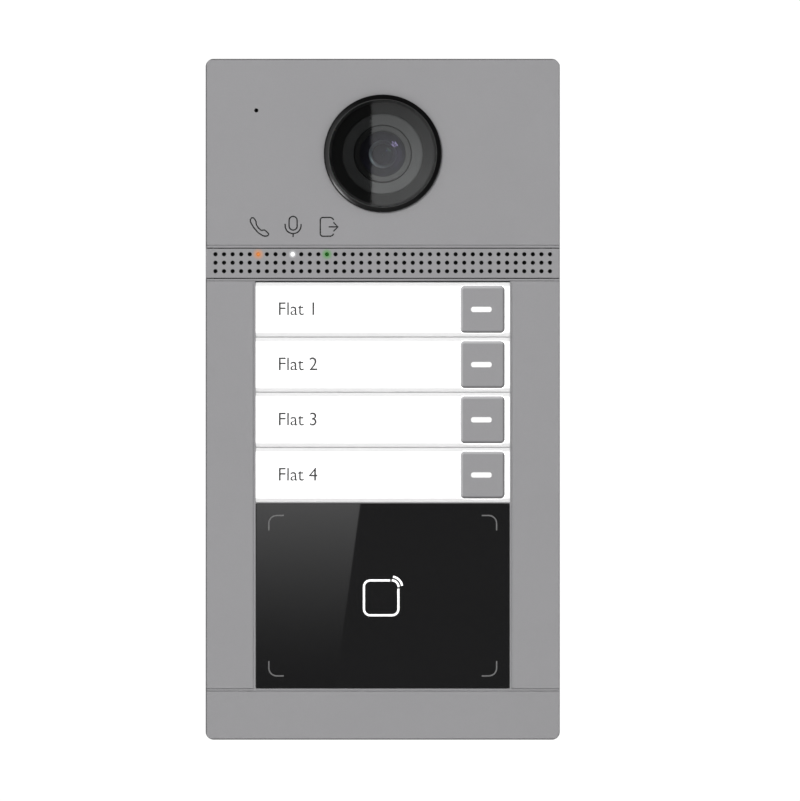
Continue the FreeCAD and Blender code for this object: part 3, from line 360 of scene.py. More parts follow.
@dataclass(frozen=True)
class PaintedCase(Finish):
    """Satin grey coat with a fine peel and faint clouds, with painted shade along its rim and painted light
    on the floors of the grooves.
    """

    name: str = "satin grey coat"
    colour: Colour = (0.288, 0.286, 0.293)
    gloss: float = 0.40
    inside_from: float = -28.9
    half_width: float = 43.2
    half_height: float = 85.0
    # How far in from the edge the painted shade of the rim reaches.
    rim: float = 0.3

    def coat(self, bench: Bench, colour: Signal, glow: Signal | None = None) -> Signal:
        """Lays the coat over a colour.

        Args:
            bench: The material's node tree.
            colour: The colour under the coat.
            glow: A painted glow laid on the coat near a lamp, if any.

        Returns:
            The shader.
        """
        place = bench.place()
        peel = bench.noise(place, 0.55, 2.0, 0.45)
        grit = bench.noise(place, 0.12, 1.0)
        wipe = bench.noise(bench.stretch(place, (0.25, 1.0, 1.6)), 9.0, 4.0, 0.6)
        roughness = self.gloss + (wipe - 0.5) * 0.10 + (grit - 0.5) * 0.08
        normal = bench.bump(grit, 0.006, 0.5, bench.bump(peel, 0.02, 0.6))
        sockets = {"Base Color": colour, "Roughness": roughness, "Normal": normal, "IOR": 1.46}
        if glow is not None:
            sockets["Emission Color"] = glow
            sockets["Emission Strength"] = 1.0
        return bench.principled(sockets)

    def pigment(self, bench: Bench) -> Signal:
        """Mixes the coat's colour, with fine flecks and faint clouds.

        Args:
            bench: The material's node tree.

        Returns:
            The colour.
        """
        place = bench.place()
        cloud = bench.noise(place, 22.0, 3.0)
        fleck = bench.noise(place, 0.16, 1.0)
        factor = 0.5 + (cloud - 0.5) * 0.45 + (fleck - 0.5) * 0.9
        return bench.shades(factor, self.colour, 0.05)

    def build(self, bench: Bench) -> Signal:
        """Builds the coat, with a near-black inside behind it as painted shade seen through the openings.

        Args:
            bench: The material's node tree.

        Returns:
            The shader.
        """
        x, y, z = bench.axes(bench.place())
        # Painted shade: surfaces behind the front plate and inside the skirt are near-black, so the openings
        # read dark.
        inside = y.over(self.inside_from, 0.1) * abs(x).under(self.half_width, 0.1)
        inside = inside * abs(z).under(self.half_height, 0.1)
        # Painted shade: the front's left, top and bottom rim are darkened.
        rim = (0.0 - x).over(PANEL_HALF_WIDTH - self.rim, 0.12)
        rim = rim.most(abs(z).over(PANEL_HALF_HEIGHT - self.rim, 0.12))
        rim = rim * y.under(FASCIA_FRONT + 0.7, 0.2)
        # Painted light: surfaces set back from the front, such as the floors of the grooves, are lightened,
        # standing in for light bounced into them.
        painted_groove_light = y.over(FASCIA_FRONT + 0.18, 0.12) * abs(x).under(PANEL_HALF_WIDTH - 0.5, 0.1)
        painted_groove_light = painted_groove_light * abs(z).under(PANEL_HALF_HEIGHT - 0.5, 0.1)
        colour = bench.mix(painted_groove_light, self.pigment(bench), tinted(self.colour, 1.25))
        colour = bench.mix(rim * 0.9, colour, tinted(self.colour, 0.42))
        return self.coat(bench, bench.mix(inside, colour, grey(0.012)))


@dataclass(frozen=True)
class GrillePaint(PaintedCase):
    """The case's coat on the pierced strip, with painted shade inside the holes and a painted glow around the
    status lamps.
    """

    name: str = "pierced grille coat"
    row_middle: float = 34.885
    row_reach: float = 3.3

    def build(self, bench: Bench) -> Signal:
        """Builds the coat with the painted shade of its holes and the painted halos.

        Args:
            bench: The material's node tree.

        Returns:
            The shader.
        """
        x, y, z = bench.axes(bench.place())
        # Painted shade: the walls of the holes are near-black.
        inside = y.over(FASCIA_FRONT + 0.19, 0.16) * abs(x).under(self.half_width + 0.5, 0.1)
        inside = inside * abs(z - self.row_middle * MM).under(self.row_reach, 0.1)
        colour = bench.mix(inside, self.pigment(bench), grey(0.010))
        glow: Signal | Colour = grey(0.0)
        # Painted light: a halo of each lamp's colour, in the coat's colour and glow.
        for lamp in STATUS_LAMPS:
            near = bench.radius((lamp.x, LAMP_HEIGHT)).ramp(lamp.reach * MM, 0.5 * MM, 0.0, 0.75)
            glow = bench.mix(near, glow, lamp.painted_halo)
            colour = bench.mix(near, colour, tinted(lamp.painted_halo, 0.8))
        return self.coat(bench, colour, glow)


@dataclass(frozen=True)
class Moulding(Finish):
    """Moulded plastic: a textured skin with flow clouds, flecks and a faint polish where it is handled."""

    name: str
    colour: Colour
    roughness: float = 0.5
    grain: float = 0.3
    depth: float = 0.02
    spread: float = 0.06
    shine: float = 0.5

    def build(self, bench: Bench) -> Signal:
        """Builds the plastic.

        Args:
            bench: The material's node tree.

        Returns:
            The shader.
        """
        place = bench.place()
        flow = bench.noise(bench.stretch(place, (0.5, 1.0, 1.0)), 12.0, 3.0, 0.55)
        skin = bench.noise(place, self.grain, 2.0, 0.5)
        fleck = bench.noise(place, self.grain * 0.4, 1.0)
        factor = 0.5 + (flow - 0.5) * 0.6 + (fleck - 0.5) * 0.7
        roughness = self.roughness + (flow - 0.5) * 0.12 + (skin - 0.5) * 0.08
        normal = bench.bump(fleck, self.depth * 0.3, 0.5, bench.bump(skin, self.depth, 0.7))
        sockets = {"Base Color": bench.shades(factor, self.colour, self.spread), "Roughness": roughness,
                   "Normal": normal, "IOR": 1.49, "Specular IOR Level": self.shine}
        return bench.principled(sockets)


@dataclass(frozen=True)
class FloorFinish(Moulding):
    """Pale floor that hides nothing from a view below it."""

    def build(self, bench: Bench) -> Signal:
        """Builds the floor, clear on its underside.

        Args:
            bench: The material's node tree.

        Returns:
            The shader.
        """
        top = super().build(bench)
        under = bench.out(bench.node("NewGeometry"), "Backfacing")
        return bench.blend(under, top, bench.out(bench.node("BsdfTransparent")))


@dataclass(frozen=True)
class KeyCap(PaintedCase):
    """Two-shot key: a coat with painted shade along the right and lower edge and a painted highlight along
    the upper left, over a natural foot that glows with painted light.
    """

    name: str = "satin grey key"
    coat_from: float = -29.62
    # Strength of the natural foot's painted glow.
    light: float = 0.85
    middle_x: float = 25.5
    half_width: float = 5.7
    half_height: float = 6.0
    corner: float = 1.1
    outline: float = 0.2
    shade_width: float = 0.78
    highlight_width: float = 0.85

    def edge(self, across: Signal, up: Signal, width: float) -> Signal:
        """Marks the key's edge on one side.

        Args:
            across: Distance from the key's middle towards that side, in metres.
            up: Height over the key's middle towards that side, in metres.
            width: How wide the marked edge is, in millimetres.

        Returns:
            1 at the outline, easing to 0 over the width.
        """
        over_x = (across - (self.half_width - self.corner) * MM).most(0.0)
        over_z = (up - (self.half_height - self.corner) * MM).most(0.0)
        reach = (over_x * over_x + over_z * over_z) ** 0.5
        return reach.ramp((self.corner - width) * MM, (self.corner - self.outline) * MM)

    def build(self, bench: Bench) -> Signal:
        """Builds the coat over the natural plastic.

        Args:
            bench: The material's node tree.

        Returns:
            The shader.
        """
        place = bench.place()
        x, y, z = bench.axes(place)
        bare = y.over(self.coat_from, 0.05)
        height = bench.from_plate(z)
        across = x - self.middle_x * MM
        # Painted shade along the key's right and lower edge, and a painted highlight along its upper left
        # edge.
        painted_shade = self.edge(across, 0.0 - height, self.shade_width)
        painted_highlight = self.edge(0.0 - across, height, self.highlight_width) * (1.0 - painted_shade)
        haze = bench.noise(place, 0.4, 2.0)
        shaded_coat = bench.mix(painted_shade * 0.9, self.pigment(bench), tinted(self.colour, 0.46))
        shaded_coat = bench.mix(painted_highlight, shaded_coat, tinted(self.colour, 1.7))
        plastic = bench.shades(haze, grey(0.75), 0.04)
        # Painted light: the natural foot glows so the gap round the key reads light.
        glow = bench.mix(bare, grey(0.0), grey(self.light))
        return self.coat(bench, bench.mix(bare, shaded_coat, plastic), glow)


@dataclass(frozen=True)
class GlowTray(Finish):
    """Opal tray with a painted glow that stands for the lamps' light carried to the seams between the plates.
    """

    name: str = "opal label tray"
    colour: Colour = (0.80, 0.80, 0.80)
    # Strength of the painted glow.
    light: float = 0.28
    dark_above: float = 29.75

    def build(self, bench: Bench) -> Signal:
        """Builds the opal plastic, with painted shade over the top plate, where it is grey and has no glow.

        Args:
            bench: The material's node tree.

        Returns:
            The shader.
        """
        place = bench.place()
        _, _, z = bench.axes(place)
        # Painted glow below the top plate's upper edge, painted shade above it.
        lit = z.under(self.dark_above - 0.1, 0.1)
        haze = bench.noise(place, 0.5, 3.0)
        flow = bench.noise(bench.stretch(place, (0.4, 1.0, 1.0)), 15.0, 3.0)
        glow = bench.mix(lit * (0.8 + flow * 0.3), grey(0.0), grey(self.light))
        colour = bench.mix(lit, grey(0.25), bench.shades(haze * 0.5 + flow * 0.5, self.colour, 0.05))
        sockets = {"Base Color": colour, "Roughness": 0.38 + haze * 0.12, "Emission Color": glow,
                   "Emission Strength": 1.0, "Normal": bench.bump(haze, 0.01, 0.4)}
        return bench.principled(sockets)


@dataclass(frozen=True)
class LightBar(Finish):
    """Diffusing bar in a key, brightest along its core and dimmer towards its edges and ends."""

    name: str = "white light bar"
    half_length: float = 2.7
    half_height: float = 0.725
    core_half_height: float = 0.3
    middle_x: float = 25.2

    def build(self, bench: Bench) -> Signal:
        """Builds the bar.

        Args:
            bench: The material's node tree.

        Returns:
            The shader.
        """
        place = bench.place()
        x, _, z = bench.axes(place)
        off_centre = abs(bench.from_plate(z))
        core = off_centre.ramp(self.half_height * MM, self.core_half_height * MM)
        ends = abs(x - self.middle_x * MM).ramp(self.half_length * MM, (self.half_length - 0.5) * MM)
        haze = bench.noise(place, 0.3, 2.0)
        glow = bench.mix(core * ends * 0.75 + 0.12 + (haze - 0.5) * 0.06, grey(0.0), grey(1.0))
        sockets = {"Base Color": bench.shades(haze, grey(0.55), 0.05), "Roughness": 0.25 + haze * 0.1,
                   "Emission Color": glow, "Emission Strength": 0.8, "Normal": bench.bump(haze, 0.01, 0.4)}
        return bench.principled(sockets)


@dataclass(frozen=True)
class SparkShell(Finish):
    """Black housing plastic with a coarse spark-eroded texture and pale rubbed spots."""

    name: str = "spark-textured black housing"
    colour: Colour = (0.020, 0.020, 0.021)

    def build(self, bench: Bench) -> Signal:
        """Builds the housing plastic.

        Args:
            bench: The material's node tree.

        Returns:
            The shader.
        """
        place = bench.place()
        pits = bench.out(bench.cells(place, 0.42, "SMOOTH_F1"), "Distance")
        fine = bench.noise(place, 0.18, 2.0, 0.6)
        flow = bench.noise(place, 25.0, 3.0)
        rub = bench.noise(bench.stretch(place, (1.0, 1.0, 0.4)), 3.0, 5.0, 0.65).ramp(0.60, 0.78)
        colour = bench.mix(rub * 0.35, bench.shades(flow, self.colour, 0.25), grey(0.05))
        roughness = 0.56 + (fine - 0.5) * 0.2 - rub * 0.1
        normal = bench.bump(fine, 0.02, 0.7, bench.bump(pits, 0.06, 0.8))
        sockets = {"Base Color": colour, "Roughness": roughness, "Normal": normal, "IOR": 1.5}
        return bench.principled(sockets)


@dataclass(frozen=True)
class OpalPlate(Finish):
    """Opal name plate with a painted glow: a white card behind clear acrylic, brightest along the plate's
    middle, with painted shade towards its top and bottom edges and painted pools of light at the lamps
    behind.
    """

    name: str = "lit opal plate"
    colour: Colour = (0.80, 0.80, 0.80)
    lit_half_height: float = 5.75
    edge_fall: float = 0.45
    lamp_places: tuple[float, ...] = (-22.0, -8.0, 6.0)
    pool_half_width: float = 7.0
    pool_half_height: float = 5.0

    def build(self, bench: Bench) -> Signal:
        """Builds the plate.

        Args:
            bench: The material's node tree.

        Returns:
            The shader.
        """
        place = bench.place()
        x, _, z = bench.axes(place)
        off_centre = abs(bench.from_plate(z))
        # Painted shade: the glow falls away towards the plate's top and bottom edges.
        middle = off_centre.ramp((self.lit_half_height + self.edge_fall) * MM, self.lit_half_height * MM)
        # Painted pools of light where the lamps sit behind the plate.
        pools: Value = 0.0
        for lamp_x in self.lamp_places:
            across = (x - lamp_x * MM) / (self.pool_half_width * MM)
            up = off_centre / (self.pool_half_height * MM)
            pools = (across * across + up * up).ramp(1.0, 0.0) + pools
        fibre = bench.noise(bench.stretch(place, (0.5, 1.0, 1.0)), 0.5, 3.0, 0.6)
        level = middle * 0.33 + 0.02 + pools * 0.07 + (fibre - 0.5) * 0.03
        glow = bench.mix(level, grey(0.0), grey(1.0))
        sockets = {"Base Color": bench.shades(fibre, self.colour, 0.02), "Roughness": 0.35 + fibre * 0.1,
                   "Emission Color": glow, "Emission Strength": 1.0, "Coat Weight": 1.0,
                   "Coat Roughness": 0.02, "Normal": bench.bump(fibre, 0.004, 0.4)}
        return bench.principled(sockets)


@dataclass(frozen=True)
class LitResin(Finish):
    """Diffusing resin with a lamp behind it, brightest at its centre and dimmer at its rim."""

    name: str
    colour: Colour
    strength: float
    centre: Flat
    reach: float

    def build(self, bench: Bench) -> Signal:
        """Builds the resin.

        Args:
            bench: The material's node tree.

        Returns:
            The shader.
        """
        place = bench.place()
        core = bench.radius(self.centre).ramp(self.reach * MM, 0.0)
        haze = bench.noise(place, 0.3, 2.0)
        level = 0.55 + core * 0.45 + (haze - 0.5) * 0.08
        glow = bench.mix(level, grey(0.0), self.colour)
        sockets = {"Base Color": bench.shades(haze, tinted(self.colour, 0.6), 0.08),
                   "Roughness": 0.22 + haze * 0.1, "Emission Color": glow, "Emission Strength": self.strength,
                   "Normal": bench.bump(haze, 0.01, 0.4)}
        return bench.principled(sockets)


@dataclass(frozen=True)
class GlossPanel(Finish):
    """Back-printed black acrylic with a deep gloss, faint wiping marks and a trace of dust."""

    name: str = "gloss black reader acrylic"
    colour: Colour = (0.0115, 0.0115, 0.0118)

    def build(self, bench: Bench) -> Signal:
        """Builds the acrylic.

        Args:
            bench: The material's node tree.

        Returns:
            The shader.
        """
        place = bench.place()
        wipe = bench.noise(bench.stretch(place, (1.0, 1.0, 0.35)), 6.0, 5.0, 0.6)
        dust = bench.noise(place, 0.35, 1.0).ramp(0.74, 0.86)
        wave = bench.noise(place, 30.0, 1.0)
        colour = bench.mix(dust * 0.10, bench.shades(wave, self.colour, 0.08), grey(0.09))
        roughness = 0.006 + wipe.ramp(0.62, 0.9) * 0.02 + dust * 0.2
        sockets = {"Base Color": colour, "Roughness": roughness, "IOR": 1.5}
        return bench.principled(sockets)


@dataclass(frozen=True)
class ClearGlass(Finish):
    """Clear glass or acrylic that reflects by its own coating and lets the rest through."""

    name: str
    tint: Colour = (0.96, 0.97, 0.97)
    sheen: Colour = (1.0, 1.0, 1.0)
    index: float = 1.5
    gain: float = 1.0
    smear: float = 0.01

    def build(self, bench: Bench) -> Signal:
        """Builds the glass.

        Args:
            bench: The material's node tree.

        Returns:
            The shader.
        """
        place = bench.place()
        film = bench.noise(place, 4.0, 3.0, 0.55)
        normal = bench.bump(film, 0.004, 0.1)
        mirror = bench.out(bench.node("BsdfGlossy", None, {"Color": self.sheen, "Roughness": self.smear,
                                                           "Normal": normal}))
        clear = bench.out(bench.node("BsdfTransparent", None, {"Color": self.tint}))
        angle = bench.out(bench.node("Fresnel", None, {"IOR": self.index}))
        share = (angle * self.gain + (film - 0.5) * 0.006).least(0.95)
        return bench.blend(share, clear, mirror)


@dataclass(frozen=True)
class LightTrap(Finish):
    """Baffle plastic: a flocked cone that swallows light, round a polished flat disc."""

    name: str = "black light trap"
    disc_radius: float = 10.3
    disc_tone: float = 0.02
    cone_tone: float = 0.0048

    def build(self, bench: Bench) -> Signal:
        """Builds the flock and the disc.

        Args:
            bench: The material's node tree.

        Returns:
            The shader.
        """
        place = bench.place()
        flock = bench.noise(place, 0.10, 2.0, 0.6)
        skin = bench.noise(place, 0.6, 2.0)
        disc = bench.radius((0.0, CAMERA_HEIGHT)).under(self.disc_radius + 0.015, 0.015)
        colour = bench.mix(disc, bench.shades(flock, grey(self.cone_tone), 0.4),
                           bench.shades(skin, grey(self.disc_tone), 0.12))
        normal = bench.bump(flock * (1.0 - disc), 0.02, 0.3)
        sockets = {"Base Color": colour, "Roughness": 0.85 - disc * 0.6, "Specular IOR Level": 0.1,
                   "Coat Weight": disc, "Coat Roughness": 0.0, "Coat IOR": 1.95, "Normal": normal}
        return bench.principled(sockets)


class MetalWork(Enum):
    """How a metal surface was worked, as the direction its fine marks run in."""

    TURNED = "turned"
    DRAWN = "drawn"
    TUMBLED = "tumbled"


@dataclass(frozen=True)
class Metal(Finish):
    """Bare, plated or anodised metal with the marks of how it was worked."""

    name: str
    colour: Colour
    work: MetalWork = MetalWork.TUMBLED
    roughness: float = 0.3
    metallic: float = 1.0
    centre: Flat = (0.0, 0.0)

    def build(self, bench: Bench) -> Signal:
        """Builds the metal.

        Args:
            bench: The material's node tree.

        Returns:
            The shader.
        """
        place = bench.place()
        tarnish = bench.noise(place, 5.0, 4.0, 0.6)
        grain = bench.noise(place, 0.15, 2.0)
        if self.work is MetalWork.TURNED:
            rings = bench.radius(self.centre) * (2.0 * math.pi / (0.22 * MM))
            marks = bench.math("SINE", rings, 0.0) * 0.35 + 0.5 + (grain - 0.5) * 0.3
        elif self.work is MetalWork.DRAWN:
            marks = bench.noise(bench.stretch(place, (1.0, 0.06, 1.0)), 0.12, 3.0, 0.6)
        else:
            marks = bench.out(bench.cells(place, 0.35), "Distance")
        colour = bench.shades(tarnish * 0.6 + marks * 0.4, self.colour, 0.12)
        roughness = self.roughness + (tarnish - 0.5) * 0.18 + (grain - 0.5) * 0.06
        sockets = {"Base Color": colour, "Metallic": self.metallic, "Roughness": roughness,
                   "Normal": bench.bump(marks, 0.01, 0.5)}
        return bench.principled(sockets)


@dataclass(frozen=True)
class GalvanisedSheet(Finish):
    """Hot-dipped sheet: spangled zinc crystals, rolling streaks, white bloom and small scratches."""

    name: str = "galvanised wall plate"
    colour: Colour = (0.52, 0.54, 0.56)
    spangle: float = 4.2

    def build(self, bench: Bench) -> Signal:
        """Builds the zinc.

        Args:
            bench: The material's node tree.

        Returns:
            The shader.
        """
        place = bench.place()
        drift = bench.out(bench.node("TexNoise", None, {"Vector": place, "Scale": 350.0}), "Color")
        wobble = bench.out(bench.node("VectorMath", {"operation": "MULTIPLY_ADD"},
                                      {0: drift, 1: grey(2.2 * MM), 2: place}))
        crystal = bench.cells(wobble, self.spangle)
        facet, _, turn = bench.axes(bench.out(crystal, "Color"))
        edge = bench.out(bench.cells(wobble, self.spangle, "DISTANCE_TO_EDGE"), "Distance").ramp(0.0, 0.06)
        streak = bench.noise(bench.stretch(place, (1.0, 1.0, 0.03)), 0.5, 3.0, 0.6)
        bloom = bench.noise(place, 12.0, 5.0, 0.65).ramp(0.52, 0.75)
        scratch = bench.noise(bench.stretch(place, (1.0, 1.0, 0.02)), 0.25, 1.0).ramp(0.71, 0.76)
        tone = facet * 0.7 + streak * 0.3
        colour = bench.mix(bloom * 0.35, bench.shades(tone, self.colour, 0.17), grey(0.62))
        colour = bench.mix(scratch * 0.5, colour, grey(0.75))
        roughness = 0.30 + turn * 0.16 + bloom * 0.22 - scratch * 0.12
        normal = bench.bump(streak, 0.01, 0.4, bench.bump(edge, 0.02, 0.5))
        sockets = {"Base Color": colour, "Metallic": 1.0 - bloom * 0.35, "Roughness": roughness,
                   "Normal": normal}
        return bench.principled(sockets)


@dataclass(frozen=True)
class CircuitBoard(Finish):
    """Laminate with solder mask, raised traces, plated vias and a faint glass weave."""

    name: str
    mask: Colour = (0.010, 0.085, 0.030)
    pitch: float = 1.27

    def tracks(self, bench: Bench, along: Signal, gate: Signal) -> Signal:
        """Parallel traces across one axis, where the gate is open."""
        cycle = bench.math("PINGPONG", along, self.pitch * MM / 2)
        return cycle.ramp(self.pitch * MM * 0.17, self.pitch * MM * 0.12) * gate

    def build(self, bench: Bench) -> Signal:
        """Builds the board.

        Args:
            bench: The material's node tree.

        Returns:
            The shader.
        """
        place = bench.place()
        x, _, z = bench.axes(place)
        areas = bench.cells(place, 9.0, "F1", 0.8)
        choice, second, _ = bench.axes(bench.out(areas, "Color"))
        rows = self.tracks(bench, z, choice.ramp(0.50, 0.51))
        columns = self.tracks(bench, x, choice.ramp(0.38, 0.37))
        traces = rows.most(columns)
        pour = second.ramp(0.72, 0.73) * (1.0 - traces)
        dots = bench.cells(bench.stretch(place, (1.0, 0.0, 1.0)), self.pitch * 2, "F1", 0.35)
        pick, _, _ = bench.axes(bench.out(dots, "Color"))
        reach = bench.out(dots, "Distance")
        via = reach.ramp(0.17, 0.15) * pick.ramp(0.60, 0.61)
        bore = reach.ramp(0.08, 0.07) * via
        weave = bench.noise(bench.stretch(place, (1.0, 1.0, 0.3)), 0.4, 2.0)
        colour = bench.mix((traces * 0.8).most(pour * 0.5), bench.shades(weave, self.mask, 0.15),
                           tinted(self.mask, 1.9))
        colour = bench.mix(via, colour, (0.70, 0.50, 0.18))
        colour = bench.mix(bore, colour, grey(0.01))
        height = traces.most(via) * 0.8 + weave * 0.1
        sockets = {"Base Color": colour, "Metallic": via * 0.9 - bore * 0.9, "Roughness": 0.28 + weave * 0.15,
                   "Normal": bench.bump(height, 0.035, 0.8)}
        return bench.principled(sockets)


class Softness(Enum):
    """Kinds of soft material in the panel."""

    RUBBER = "rubber"
    SILICONE = "silicone"
    FOAM = "foam"


@dataclass(frozen=True)
class Elastomer(Finish):
    """Rubber, silicone or open foam, each with its own skin."""

    name: str
    colour: Colour
    kind: Softness
    glow: float = 0.0

    def build(self, bench: Bench) -> Signal:
        """Builds the soft material.

        Args:
            bench: The material's node tree.

        Returns:
            The shader.
        """
        place = bench.place()
        skin = bench.noise(place, 0.35, 3.0, 0.6)
        powder = bench.noise(place, 6.0, 4.0, 0.6).ramp(0.5, 0.8)
        depth = 0.02
        height = skin
        if self.kind is Softness.FOAM:
            depth = 0.25
            height = bench.out(bench.cells(place, 0.7), "Distance")
        pale = bench.shades(skin, tinted(self.colour, 1.8), 0.1)
        colour = bench.mix(powder * 0.35, bench.shades(height, self.colour, 0.15), pale)
        gloss = 0.42 if self.kind is Softness.SILICONE else 0.78
        sockets = {"Base Color": colour, "Roughness": gloss + (skin - 0.5) * 0.15,
                   "Normal": bench.bump(height, depth, 0.8), "IOR": 1.45}
        # A glow is painted light: soft parts behind the keys glow so the gaps round the keys read light.
        if self.glow > 0.0:
            sockets["Emission Color"] = bench.shades(skin, grey(self.glow), 0.06)
            sockets["Emission Strength"] = 1.0
        return bench.principled(sockets)


@dataclass(frozen=True)
class Woven(Finish):
    """Fine woven mesh: crossing threads that pass over and under each other."""

    name: str
    colour: Colour
    pitch: float = 0.32

    def build(self, bench: Bench) -> Signal:
        """Builds the weave.

        Args:
            bench: The material's node tree.

        Returns:
            The shader.
        """
        place = bench.place()
        x, _, z = bench.axes(place)
        turn = math.pi / (self.pitch * MM)
        warp = bench.math("SINE", x * turn, 0.0)
        weft = bench.math("SINE", z * turn, 0.0)
        over = warp * weft
        threads = abs(warp).most(abs(weft))
        fuzz = bench.noise(place, 0.08, 2.0)
        height = threads * 0.7 + over * 0.3
        colour = bench.shades(height * 0.8 + fuzz * 0.2, self.colour, 0.45)
        sockets = {"Base Color": colour, "Roughness": 0.75 + (fuzz - 0.5) * 0.2,
                   "Normal": bench.bump(height, 0.06, 0.9)}
        return bench.principled(sockets)


@dataclass(frozen=True)
class PrintedInk(Finish):
    """Pad-printed ink with a slightly uneven film under a gloss."""

    name: str
    colour: Colour
    glow: float = 0.0

    def build(self, bench: Bench) -> Signal:
        """Builds the ink.

        Args:
            bench: The material's node tree.

        Returns:
            The shader.
        """
        place = bench.place()
        film = bench.noise(place, 0.4, 3.0, 0.6)
        sockets = {"Base Color": bench.shades(film, self.colour, 0.10), "Roughness": 0.22 + film * 0.12,
                   "Normal": bench.bump(film, 0.006, 0.4), "IOR": 1.5,
                   "Emission Color": bench.shades(film, tinted(self.colour, self.glow), 0.04),
                   "Emission Strength": 1.0, "Coat Weight": 1.0, "Coat Roughness": 0.03}
        return bench.principled(sockets)


@dataclass(frozen=True)
class SensorGlass(Finish):
    """Image sensor: a fine grid of cells that splits light, with painted glints as pale specks in the middle.
    """

    name: str = "image sensor"
    half_width: float = 3.25
    half_height: float = 2.55
    glint_centre: Flat = (0.2, CAMERA_HEIGHT + 0.1)
    glint_field: Flat = (1.15, 0.35)

    def build(self, bench: Bench) -> Signal:
        """Builds the sensor's face.

        Args:
            bench: The material's node tree.

        Returns:
            The shader.
        """
        place = bench.place()
        x, _, z = bench.axes(place)
        inside = abs(x).under(self.half_width, 0.05)
        inside = inside * abs(z - CAMERA_HEIGHT * MM).under(self.half_height, 0.05)
        grid = bench.cells(place, 0.22, "F1", 0.1)
        shimmer = bench.noise(bench.stretch(place, (1.0, 1.0, 0.5)), 1.6, 3.0)
        hue = bench.mix(shimmer, (0.03, 0.10, 0.06), (0.10, 0.05, 0.11))
        # Painted glints: pale, less metallic specks near the middle stand in for sparkle off the sensor.
        painted_glint = bench.noise(place, 0.55, 2.0, 0.6).ramp(0.50, 0.62)
        field = bench.radius(self.glint_centre).ramp(self.glint_field[0] * MM, self.glint_field[1] * MM)
        painted_glint = painted_glint * field
        hue = bench.mix(painted_glint, hue, (0.42, 0.50, 0.40))
        colour = bench.mix(inside, (0.03, 0.028, 0.02), hue)
        sockets = {"Base Color": colour, "Metallic": inside * 0.7 * (1.0 - painted_glint),
                   "Roughness": 0.16 + shimmer * 0.1,
                   "Normal": bench.bump(bench.out(grid, "Distance"), 0.01, 0.15),
                   "Coat Weight": 1.0, "Coat Roughness": 0.02}
        return bench.principled(sockets)


@dataclass(frozen=True)
class CardGlow(Finish):
    """Plain light of a card, even or changing between two heights."""

    name: str
    bottom: float
    top: float
    heights: Flat = (0.0, 1.0)
    bend: float = 1.0

    def build(self, bench: Bench) -> Signal:
        """Builds the light.

        Args:
            bench: The material's node tree.

        Returns:
            The shader.
        """
        _, _, z = bench.axes(bench.place())
        limits = {"Value": z, "From Min": self.heights[0] * MM, "From Max": self.heights[1] * MM}
        share = bench.out(bench.node("MapRange", None, limits), "Result")
        level = share ** self.bend * (self.top - self.bottom) + self.bottom
        return bench.out(bench.node("Emission", None, {"Color": grey(1.0), "Strength": level}))


